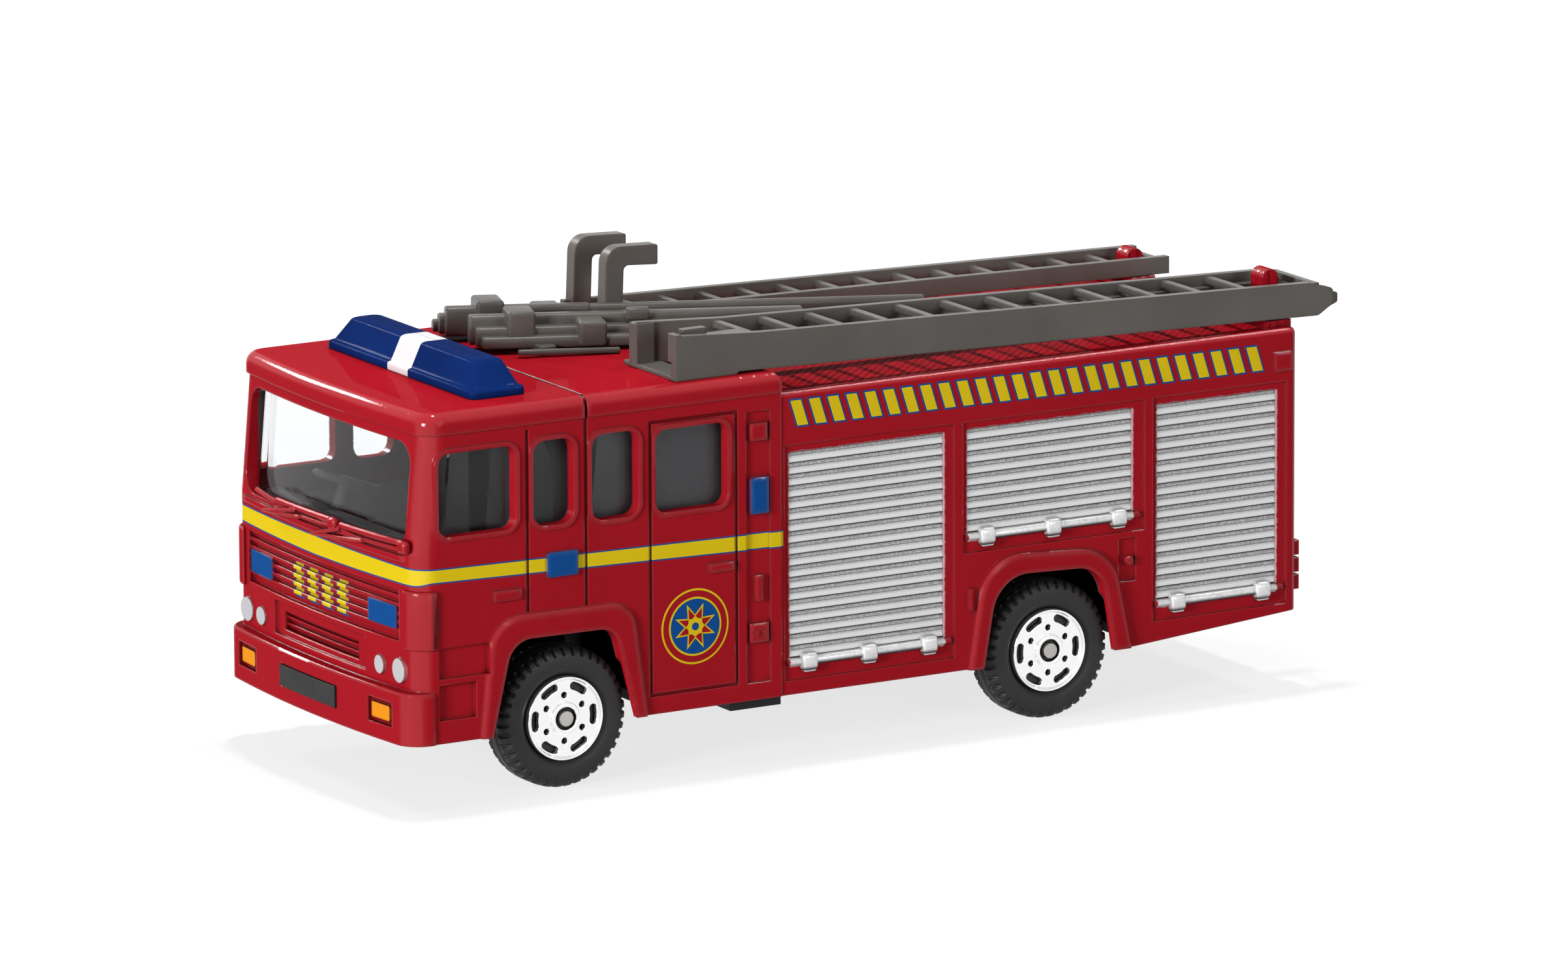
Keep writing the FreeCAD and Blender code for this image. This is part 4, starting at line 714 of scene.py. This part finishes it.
def wheel_disc(name, centre, side):
    """The face runs from bore to rim, and straight walls close it round the back."""
    rings = np.linspace(BORE, HUB_RADIUS, 78)
    angle = np.linspace(0, 2 * np.pi, 372, endpoint=False)[:, None]
    inward, deep = disc_face(rings[None, :], angle)
    back = np.full((len(angle), 2), HUB_FACE - HUB_BACK)
    radius = np.concatenate([rings, [HUB_RADIUS, BORE]])[None, :]
    inward = np.hstack([inward, back])
    deep = np.hstack([deep, np.zeros_like(back)])
    points = turned(centre, side, radius, HUB_FACE - inward, angle)
    piece = surface(name, points, wrap=(True, True), material=chrome)
    opened = piece.data.attributes.new("opening", "FLOAT", "POINT")
    opened.data.foreach_set("value", deep.ravel().astype(np.float32))
    return piece


for end, centre in AXLES.items():
    for word, side in SIDES:
        piece = wheel_disc("plated_disc_%s_%s" % (end, word), centre, side)
        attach(piece, "%s_wheelset" % end)
        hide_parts("hub_%s_%s" % (end, word))
print("disc triangles:", 2 * len(piece.data.polygons))

# %% [markdown]
# ## Light bar
#
# The bar is one gloss moulding: a flange, and a dome that tapers to a rounded top. It is a stack of rounded
# rectangles, each with its own half sizes, middle and height, and a quarter circle of levels rounds each
# edge. Its white middle is a step on the distance from the toy's middle plane.

# %% Light bar finish
graph = Finish("navy_plastic", "enamel_skin", 0.15, 0.004, Coat_Weight=0.04, Coat_Roughness=0.03,
               Specular_IOR_Level=0.0)
navy = graph.material
at = graph.effect("drawing_place")
slant = graph.line(at["Left"], 0.03, graph.less(at["Forward"], 42.7))
white = graph.step(graph.size(graph.plus(slant, 0.1)), 2.36, 2.28)
blue = graph.layer((0.003, 0.018, 0.11, 1.0), (0.004, 0.025, 0.15, 1.0), graph.skin["Dullness"])
graph.paint(graph.layer(blue, (0.78, 0.79, 0.81, 1.0), white), 0.16, 0.06)

# %% Light bar form
ROOF = 44.4
FLANGE = ((39.3, 46.2), 16.8)
CROWN = ((40.9, 44.4), 14.3)
CROWN_TOP = 48.2
FLANGE_UP, FLANGE_ROUND, CROWN_ROUND = 0.95, 0.3, 0.75


def four_corners(steps):
    """Angles round the corners of a rounded rectangle, and the signs of each corner's centre."""
    turn = np.linspace(0, np.pi / 2, steps)
    angle = np.concatenate([turn + k * np.pi / 2 for k in range(4)])[None, :]
    return angle, np.repeat([1, -1, -1, 1], steps)[None, :], np.repeat([1, 1, -1, -1], steps)[None, :]


def rounded_levels(levels, corner, steps=7):
    """Stack of rounded rectangles (middle x, half x, half y, z). The corner radius shrinks with a level."""
    angle, sign_x, sign_y = four_corners(steps)
    middle, half_x, half_y, z = (column[:, None] for column in np.array(levels, dtype=float).T)
    radius = np.minimum(corner, np.minimum(half_x, half_y))
    x = middle + sign_x * (half_x - radius) + radius * np.cos(angle)
    y = sign_y * (half_y - radius) + radius * np.sin(angle)
    return np.stack([x + DRAWING_SHIFT, y, z + 0 * x], axis=-1)


def bar_levels():
    """Flange, waist, tapering dome and rounded top, as (middle x, half x, half y, z)."""
    (x0, x1), half = FLANGE
    (t0, t1), top_half = CROWN
    shoulder = ROOF + FLANGE_UP
    round_from = shoulder - FLANGE_ROUND
    middle, half_x = (x0 + x1) / 2, (x1 - x0) / 2
    levels = [(middle, 0.02, 0.02, ROOF), (middle, half_x - 0.1, half - 0.1, ROOF),
              (middle, half_x, half, ROOF + 0.1), (middle, half_x, half, round_from)]
    for a in np.linspace(0, np.pi / 2, 5)[1:]:
        drawn_in = FLANGE_ROUND * (1 - np.cos(a))
        levels.append((middle, half_x - drawn_in, half - drawn_in, round_from + FLANGE_ROUND * np.sin(a)))
    low = np.array((middle, half_x - 0.45, half - 0.45))
    high = np.array(((t0 + t1) / 2, (t1 - t0) / 2, top_half))
    for share in np.linspace(0.0, 0.88, 6):
        levels.append((*(low + (high - low) * share), shoulder + 0.02 + (CROWN_TOP - shoulder) * share))
    last = levels[-1]
    for a in np.linspace(0, np.pi / 2, 7)[1:]:
        drawn_in = CROWN_ROUND * (1 - np.cos(a))
        levels.append((last[0] + (high[0] - last[0]) * np.sin(a), last[1] - drawn_in - 0.1 * np.sin(a),
                       last[2] - drawn_in - 0.3 * np.sin(a), last[3] + (CROWN_TOP - last[3]) * np.sin(a)))
    levels.append((high[0], 0.02, high[2] - high[1] - 0.02, CROWN_TOP))
    return levels


bar = surface("roof_light_bar", rounded_levels(bar_levels(), 0.9), merge=True, material=navy)
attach(bar, "body")
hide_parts("light_bar")
print("light bar faces:", len(bar.data.polygons))

# %% [markdown]
# ## Bars that follow a path
#
# Rails, collars, hoses, straps and wipers are all one idea: a rounded rectangle carried along a line, with
# soft ends. The line's own arc length says where each ring goes, and near an end the rings draw in by a
# quarter circle, so even a short stub looks moulded.


# %% A moulded bar
def along_path(s, lengths, values):
    """The three columns of values at the arc lengths s."""
    return np.stack([np.interp(s, lengths, values[:, k]) for k in range(3)], axis=-1)


def moulded_bar(name, path, outward, half, corner, soft, material):
    """Rings of a rounded rectangle along a path in drawing mm. half is (outward, across); the ring at arc
    length s is drawn in by soft - sqrt(soft^2 - (soft - s)^2) near either end."""
    path = np.array(path, dtype=float)
    lengths = np.concatenate([[0.0], np.cumsum(np.linalg.norm(np.diff(path, axis=0), axis=1))])
    total = lengths[-1]
    ends = soft * (1 - np.cos(np.linspace(0, np.pi / 2, 6)))
    inner = lengths[(lengths > soft * 1.2) & (lengths < total - soft * 1.2)]
    s = np.concatenate([[0.0], ends, inner, total - ends[::-1], [total]])
    centre = along_path(s, lengths, path)
    way = along_path(s, lengths, np.gradient(path, lengths, axis=0))
    way /= np.linalg.norm(way, axis=1)[:, None]
    out = along_path(s, lengths, np.broadcast_to(np.array(outward, dtype=float), path.shape))
    across = np.cross(way, out)
    across /= np.linalg.norm(across, axis=1)[:, None]
    out = np.cross(across, way)
    near = np.maximum(soft - np.minimum(s, total - s), 0.0)
    shrink = (soft - np.sqrt(np.maximum(soft ** 2 - near ** 2, 0.0)))[:, None]
    angle, sign_out, sign_across = four_corners(6)
    half_out, half_across = (np.maximum(size - shrink, 0.01) for size in half)
    radius = np.minimum(np.maximum(corner - shrink, 0.01), np.minimum(half_out, half_across))
    pole = np.ones(len(s))[:, None]
    pole[[0, -1]] = 0.0
    u = pole * (sign_out * (half_out - radius) + radius * np.cos(angle))
    v = pole * (sign_across * (half_across - radius) + radius * np.sin(angle))
    points = centre[:, None] + u[..., None] * out[:, None] + v[..., None] * across[:, None]
    points[..., 0] += DRAWING_SHIFT
    piece = surface(name, points, merge=True, material=material)
    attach(piece, "body")
    return piece


def join(name, pieces):
    """One piece from several of one material."""
    with bpy.context.temp_override(active_object=pieces[0], selected_editable_objects=pieces):
        bpy.ops.object.join()
    pieces[0].name = name
    return pieces[0]

# %% [markdown]
# ## Shutter rails
#
# Each shutter ends in a round rail held by barrel-shaped collars, all under the same silver. The casting
# carries plain bars and blocks in their places; the rounded ones here lie over those and ride with the body.

# %% Silver paint of the rails
graph = Finish("shutter_silver", "enamel_skin", 0.08, 0.002, Coat_Weight=0.1, Coat_Roughness=0.1)
silver_paint = graph.material
spots = graph.step(graph.noise(graph.where(), 2600.0, 2.0, 0.5), 0.45, 0.75)
silver_tone = graph.layer((0.74, 0.74, 0.745, 1.0), (0.62, 0.615, 0.62, 1.0), spots)
# Painted shade: the silver is darkened where the surface faces down.
painted_underside_shade = graph.step(graph.split(graph.relief.outputs[0])[2], 0.05, -0.6)
graph.paint(graph.layer(silver_tone, (0.07, 0.067, 0.07, 1.0), painted_underside_shade), 0.30, 0.1)
graph.feed(graph.shader["Metallic"], graph.step(spots, 0.0, 1.0, 0.5, 0.4))

# %% Rails and collars
RAIL_DROP = 0.45
RAIL_Y = 20.95 - 0.22
REAR_RAIL_X = -58.9 + 0.22
RAIL_HALF = 0.56
COLLAR_HALF = (0.86, 1.06)
COLLAR_REACH = 0.98


def rail_and_collars(name, place_of, outward, bottom, clamps):
    """The rail between the outer collars, and the collars. place_of turns (along, up) into a place."""
    up = bottom - RAIL_DROP
    rail = moulded_bar(name, [place_of(min(clamps), up), place_of(max(clamps), up)], outward,
                       (RAIL_HALF, RAIL_HALF), RAIL_HALF, 0.1, silver_paint)
    pieces = [rail]
    for along in clamps:
        ends = [place_of(along - COLLAR_REACH, up - 0.05), place_of(along + COLLAR_REACH, up - 0.05)]
        pieces.append(moulded_bar("collar", ends, outward, COLLAR_HALF, 0.62, 0.42, silver_paint))
    piece = join(name, pieces)
    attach(piece, "body")


for number, (*_, bottom, _, clamps) in enumerate(SIDE_SHUTTERS, 1):
    for word, side in SIDES:
        rail_and_collars("shutter_rail_%s_%s" % (number, word), lambda x, z: (x, side * RAIL_Y, z),
                         (0, side, 0), bottom, clamps)
rail_and_collars("shutter_rail_rear", lambda y, z: (REAR_RAIL_X, y, z), (-1, 0, 0), REAR_SHUTTER[2],
                 REAR_SHUTTER[4])
print("rails:", 2 * len(SIDE_SHUTTERS) + 1)

# %% [markdown]
# ## Wipers and corner posts of the front
#
# Two red blades lie along the foot of the windscreen, each with a knob at one end and a thin forked arm. At
# both corners the front panel turns round the cab as a proud, rounded post. All of them follow the bow of
# the front, a very large circle, so their paths come from its formula.

# %% Trim of the front
FRONT_X = 56.8
BOW = 185.0
CAB_CORNER = 2.6
CAB_HALF = 21.1
FORWARD = (1.0, 0.0, 0.0)
# Each wiper's two ends across, then where its arm starts and where that arm's two branches end
WIPERS = (("wiper_right", (-8.6, 5.4), ((-11.6, 28.0), (-3.4, 29.6), (-2.4, 29.0))),
          ("wiper_left", (6.4, 19.6), ((0.4, 27.7), (6.6, 29.3), (11.4, 28.9))))


def front_x(y):
    """The bowed front's place forward at a distance from the middle: x = front - y^2 / (2 bow)."""
    return FRONT_X - y * y / (2 * BOW)


def front_bar(name, y_pair, z_pair, proud, half, corner, soft, steps=24):
    """A red bar along the bowed front, from one (y, z) to another."""
    y = np.linspace(*y_pair, steps)
    path = np.stack([front_x(y) + proud, y, np.linspace(*z_pair, steps)], axis=-1)
    return moulded_bar(name, path, FORWARD, half, corner, soft, casting)


def corner_path(side, inner_y, side_x, z, steps=14):
    """Along the front, round the corner's quarter circle and back along the side, with outward directions."""
    turn = np.linspace(0, np.pi / 2, steps)
    centre_y = CAB_HALF - CAB_CORNER
    centre_x = front_x(centre_y) - CAB_CORNER + 0.05
    x = np.concatenate([[front_x(inner_y)], centre_x + CAB_CORNER * np.cos(turn), [side_x]])
    y = np.concatenate([[inner_y], centre_y + CAB_CORNER * np.sin(turn), [CAB_HALF]])
    out_x = np.concatenate([[1.0], np.cos(turn), [0.0]])
    out_y = side * np.concatenate([[0.0], np.sin(turn), [1.0]])
    path = np.stack([x, side * y, np.full(steps + 2, z)], axis=-1)
    return path, np.stack([out_x, out_y, np.zeros(steps + 2)], axis=-1)


for name, (start, end), ((tip_y, tip_z), *branches) in WIPERS:
    parts = [front_bar(name, (start, end), (29.75, 29.95), 0.5, (0.34, 0.33), 0.28, 0.2),
             front_bar("rod", (start - 0.6, end - 1.0), (28.85, 29.2), 0.42, (0.26, 0.25), 0.2, 0.15),
             front_bar("knob", (end - 1.3, end + 0.3), (29.5, 29.55), 0.45, (0.55, 0.75), 0.5, 0.45, 4)]
    parts += [front_bar("arm", (tip_y, y), (tip_z, z), 0.75, (0.24, 0.22), 0.18, 0.1, 6) for y, z in branches]
    piece = join(name, parts)
    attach(piece, "body")
for word, side in SIDES:
    path, out = corner_path(side, 18.4, 54.2, 21.25)
    post = moulded_bar("corner_post_%s" % word, path, out, (0.36, 3.35), 0.34, 0.3, casting)
print("front trim: wipers and corner posts")

# %% [markdown]
# ## Hoses on the roof
#
# Two bundles of hose lie askew across the roof, each moulded as three round-topped ribs in steps, with
# straps over them. The frame's solid has the steps with small bevels; the ribs here are round and stand in
# for it. All run along one direction, which drifts to the left and sinks a little towards the rear.

# %% Hose bundles
HOSE_FRONT, HOSE_SKEW, HOSE_FALL = 33.3, 0.34, 0.02
# A width along y is this much narrower across the skewed hoses.
SKEW_NARROWS = 0.947
HOSE_BOTTOM = ROOF + 0.6
RIBS = (((0.0, 1.75), ROOF + 2.0), ((1.2, 3.3), ROOF + 2.9), ((2.85, 4.8), ROOF + 4.0))
BUNDLES = ((-3.3, 1, 36.0), (-16.4, -1, 15.5))
STRAPS = ((3.5, (0.7, 5.2), (ROOF + 1.6, ROOF + 4.7)), (10.5, (-0.5, 3.2), (ROOF + 0.8, ROOF + 3.6)))
STRAP_WIDTH = 3.0
OTHER_RUNS = (((-13.3, -11.8), (ROOF + 2.2, ROOF + 3.9), 0.0, 52.0),
              ((-6.9, -5.3), (ROOF + 3.1, ROOF + 4.6), 16.5, 2.4),
              ((-1.6, -0.8), (ROOF + 0.3, ROOF + 1.0), 2.5, 11.0))
TIES = ((26.0, 28.0, ROOF + 1.0, -16.4, -2.2), (11.6, 13.6, ROOF + 2.1, -13.3, -3.3))


def hose_place(run, y, z):
    """A place at a distance along the hoses, from the (y, z) that its line has at the front."""
    return (HOSE_FRONT - run, y + HOSE_SKEW * run, z - HOSE_FALL * run)


def hose_bar(y_pair, z_pair, start, length, soft=0.25, round_by=0.6):
    """A rounded bar along the hoses' direction that fills a (y, z) rectangle."""
    y, z = sum(y_pair) / 2, sum(z_pair) / 2
    half = ((z_pair[1] - z_pair[0]) / 2, abs(y_pair[1] - y_pair[0]) / 2 * SKEW_NARROWS)
    path = [hose_place(start + length * share, y, z) for share in np.linspace(0.0, 1.0, 3)]
    return moulded_bar("hose_run", path, (0, 0, 1), half, min(round_by, *half), soft, hose_grey)


hoses = []
for edge, side, length in BUNDLES:
    for (near, far), top in RIBS:
        hoses.append(hose_bar((edge - side * near, edge - side * far), (HOSE_BOTTOM, top), 0.0, length))
    for start, (near, far), z_pair in STRAPS:
        hoses.append(hose_bar((edge - side * near, edge - side * far), z_pair, start, STRAP_WIDTH, 0.4, 0.45))
for run in OTHER_RUNS:
    hoses.append(hose_bar(*run))
for x0, x1, top, right, left in TIES:
    middle = (x0 + x1) / 2
    run = HOSE_FRONT - middle
    path = [(middle, y + HOSE_SKEW * run, (ROOF + top) / 2 + 0.02) for y in (right, left)]
    half = ((top - ROOF) / 2 - 0.02, (x1 - x0) / 2)
    hoses.append(moulded_bar("hose_tie", path, (0, 0, 1), half, 0.2, 0.15, hose_grey))
bundle = join("roof_hoses", hoses)
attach(bundle, "body")
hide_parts("hose_bundles")
print("hose faces:", len(bundle.data.polygons))

# %% [markdown]
# ## Printed marks on the sides
#
# The long panel above the shutters has a plain row of slanted bars in the stripe's yellow and blue, and the
# crew door a round mark with an eight-pointed star. Print has a real thickness, a few hundredths of a
# millimetre, so each mark is a closed film that lies on the paint, filled from its middle out.

# %% Print inks
def ink(name, colour, worn):
    """Screen ink: one colour with a slightly dull, slightly uneven film."""
    graph = Finish(name, "enamel_skin", 0.03, 0.006, Coat_Weight=0.07, Coat_Roughness=0.06,
                   Specular_IOR_Level=0.0)
    graph.paint(graph.layer(colour, worn, graph.times(graph.skin["Dullness"], 0.5)), 0.24, 0.08)
    return graph.material


INK_FILM = 0.03
FILM_SUNK = 0.02
CAB_SIDE = 21.1
REAR_SIDE = 20.95
yellow_ink = ink("yellow_ink", YELLOW, (0.74, 0.54, 0.008, 1.0))
blue_ink = ink("blue_ink", BLUE, (0.005, 0.075, 0.33, 1.0))
red_ink = ink("red_ink", RED, (0.36, 0.008, 0.016, 1.0))

# %% Films of print
def film(name, outline, side, face, lift, material):
    """A closed film on the toy's side. outline is (angle, 2) in x and z, and is filled from its middle."""
    middle = outline.mean(axis=0)
    share = np.array([0.0, 1.0, 1.0, 0.0])[:, None, None]
    depth = np.array([face + lift, face + lift, face - FILM_SUNK, face - FILM_SUNK])[:, None]
    flat = middle + (outline[None] - middle) * share
    y = side * depth + 0 * flat[..., 0]
    points = np.stack([flat[..., 0] + DRAWING_SHIFT, y, flat[..., 1]], axis=-1)
    piece = surface(name, points, merge=True, material=material)
    piece.data.shade_flat()
    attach(piece, "body")
    return piece


# %% The row of slanted bars
BARS = 26
BAR_ROW = (7.0, -53.0)
BAR_LOW, BAR_HIGH = (37.95, 37.4), (40.85, 40.25)
BAR_WIDTH = 1.35
BAR_SLANT = 0.32
BAR_EDGE = 0.2


def slanted_bar(share, grow):
    """Outline of one bar: a rectangle sheared forward, grown by the edge's width."""
    x, low, high = (start + (end - start) * share for start, end in (BAR_ROW, BAR_LOW, BAR_HIGH))
    low, high, half = low - grow, high + grow, BAR_WIDTH / 2 + grow
    lean = BAR_SLANT * (high - low) / 2
    return np.array([(x - half - lean, low), (x + half - lean, low),
                     (x + half + lean, high), (x - half + lean, high)])


for word, side in SIDES:
    for colour, grow, lift, material in (("blue", BAR_EDGE, INK_FILM, blue_ink),
                                         ("yellow", 0.0, 2 * INK_FILM, yellow_ink)):
        row = [film("bar", slanted_bar(k / (BARS - 1), grow), side, REAR_SIDE, lift, material)
               for k in range(BARS)]
        piece = join("%s_bars_%s" % (colour, word), row)
        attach(piece, "body")
print("bars on each side:", BARS)

# %% The round mark on the crew door
MARK = (20.6, 16.7)
MARK_RADIUS = 4.3


def ring(radius, points=72, turn=0.0):
    """Points round the mark's middle. radius is one number, or two that take turns and draw a star."""
    angle = np.linspace(0, 2 * np.pi, points, endpoint=False) + turn
    radius = np.resize(radius, points)
    return np.stack([MARK[0] + radius * np.cos(angle), MARK[1] + radius * np.sin(angle)], axis=-1)


LAYERS = (
    ("mark_rim", ring(MARK_RADIUS), yellow_ink), ("mark_band", ring(MARK_RADIUS - 0.22), red_ink),
    ("mark_ring", ring(3.35), yellow_ink), ("mark_field", ring(3.13), blue_ink),
    ("mark_star_edge", ring((2.75, 1.35), 16, np.pi / 8), yellow_ink),
    ("mark_star", ring((2.25, 1.15), 16, np.pi / 8), red_ink),
    ("mark_heart", ring((1.2, 0.95), 16), yellow_ink), ("mark_dot", ring(0.45, 32), blue_ink),
)
for word, side in SIDES:
    for level, (name, outline, material) in enumerate(LAYERS):
        film("%s_%s" % (name, word), outline, side, CAB_SIDE, INK_FILM * (0.5 + 0.35 * level), material)
print("layers of the round mark:", len(LAYERS))

# %% [markdown]
# ## Floor, light and camera
#
# The toy stands on plain white. The floor itself is a mid grey that catches a soft shadow, and a glow that
# only camera, glossy and transmission rays see lifts it to near white, and to plain white away from the toy.
# One small lamp almost straight above draws the shadow's edge. Two low soft ones light the sides that we
# see, two behind draw bright lines along the rounded edges, and the world fills the rest.

# %% Floor and world
FLOOR_HALF = 2500.0
FLOOR_GREY = (0.22, 0.22, 0.22, 1.0)
WHITE = (1.0, 1.0, 1.0, 1.0)
GLOW_NEAR, GLOW_FAR = 0.76, 1.0
GLOW_REACH = (120.0, 400.0)
WORLD_LIGHT = 0.12


def seen_rays(graph):
    """1 for camera, glossy and transmission rays, and 0 for those that only carry light."""
    rays = graph.put("ShaderNodeLightPath").outputs
    return graph.most(rays["Is Camera Ray"], graph.most(rays["Is Glossy Ray"], rays["Is Transmission Ray"]))


floor_grid = np.array([[(x, y, 0.0) for x in (-FLOOR_HALF, FLOOR_HALF)] for y in (-FLOOR_HALF, FLOOR_HALF)])
floor = surface("floor", floor_grid, wrap=(False, False))
paper = bpy.data.materials.new("white_floor")
paper.use_nodes = True
graph = Graph(paper.node_tree)
shader = paper.node_tree.nodes["Principled BSDF"]
for socket, value in (("Base Color", FLOOR_GREY), ("Roughness", 0.9), ("Specular IOR Level", 0.1),
                      ("Emission Color", WHITE)):
    shader.inputs[socket].default_value = value
centre = graph.put("ShaderNodeVectorMath", operation="LENGTH")
graph.feed(centre.inputs[0], graph.where())
bright = graph.step(centre.outputs["Value"], GLOW_REACH[0] * MM, GLOW_REACH[1] * MM, GLOW_NEAR, GLOW_FAR)
graph.feed(shader.inputs["Emission Strength"], graph.times(seen_rays(graph), bright))
floor.data.materials.append(paper)
world = bpy.data.worlds.new("studio")
bpy.context.scene.world = world
world.use_nodes = True
graph = Graph(world.node_tree)
sky = world.node_tree.nodes["Background"]
sky.inputs["Color"].default_value = WHITE
graph.feed(sky.inputs["Strength"], graph.line(WORLD_LIGHT, 1.0 - WORLD_LIGHT, seen_rays(graph)))
print("floor and world are white to the camera")

# %% Camera from the photograph's view
YAW, PITCH, ROLL = math.radians(30.333), math.radians(13.536), math.radians(-0.247)
DISTANCE = 1435.3
PIXELS_PER_MM = 13.593
WIDTH, SENSOR = 2418, 36.0
AIM = (39.18 / PIXELS_PER_MM, 342.12 / PIXELS_PER_MM)
back = Vector((math.sin(YAW) * math.cos(PITCH), math.cos(YAW) * math.cos(PITCH), math.sin(PITCH)))
right = Vector((-math.cos(YAW), math.sin(YAW), 0.0))
up = back.cross(right)
origin = Vector((DRAWING_SHIFT, 0.0, 0.0))
station = origin + back * DISTANCE
target = origin + right * AIM[0] + up * AIM[1]
toward = (station - target).normalized()
level_right = Vector((0, 0, 1)).cross(toward).normalized()
level_up = toward.cross(level_right)
turned_right = level_right * math.cos(ROLL) + level_up * math.sin(ROLL)
turned_up = toward.cross(turned_right)
camera = bpy.data.objects.new("camera", bpy.data.cameras.new("camera"))
bpy.context.collection.objects.link(camera)
axes = Matrix((turned_right, turned_up, toward)).transposed()
camera.matrix_world = Matrix.Translation(station * MM) @ axes.to_4x4()
camera.data.sensor_width = SENSOR
camera.data.lens = PIXELS_PER_MM * DISTANCE / WIDTH * SENSOR
camera.data.clip_start, camera.data.clip_end = 0.05, 20.0
bpy.context.scene.camera = camera
print("lens %.1f mm" % camera.data.lens)


# %% Lamps
def soft_lamp(name, azimuth, elevation, distance, size, power):
    """A square lamp that faces the toy. Azimuth is from +X towards +Y, in degrees; lengths in metres."""
    data = bpy.data.lights.new(name, "AREA")
    data.size = size
    data.energy = power
    lamp = bpy.data.objects.new(name, data)
    bpy.context.collection.objects.link(lamp)
    a, e = math.radians(azimuth), math.radians(elevation)
    away = Vector((math.cos(a) * math.cos(e), math.sin(a) * math.cos(e), math.sin(e)))
    lamp.location = away * distance
    lamp.rotation_mode = "QUATERNION"
    lamp.rotation_quaternion = away.to_track_quat("Z", "Y")
    return lamp


soft_lamp("key_above", 235.0, 84.5, 1.1, 0.06, 6.4)
soft_lamp("fill_side", 100.0, 16.0, 1.2, 0.3, 3.2)
soft_lamp("fill_front", 20.0, 13.0, 1.2, 0.3, 11.4)
soft_lamp("edge_behind", 283.0, 30.0, 1.2, 0.2, 4.2)
soft_lamp("edge_rear", 180.0, 58.0, 1.2, 0.16, 2.8)
bpy.context.scene.view_settings.view_transform = "Standard"
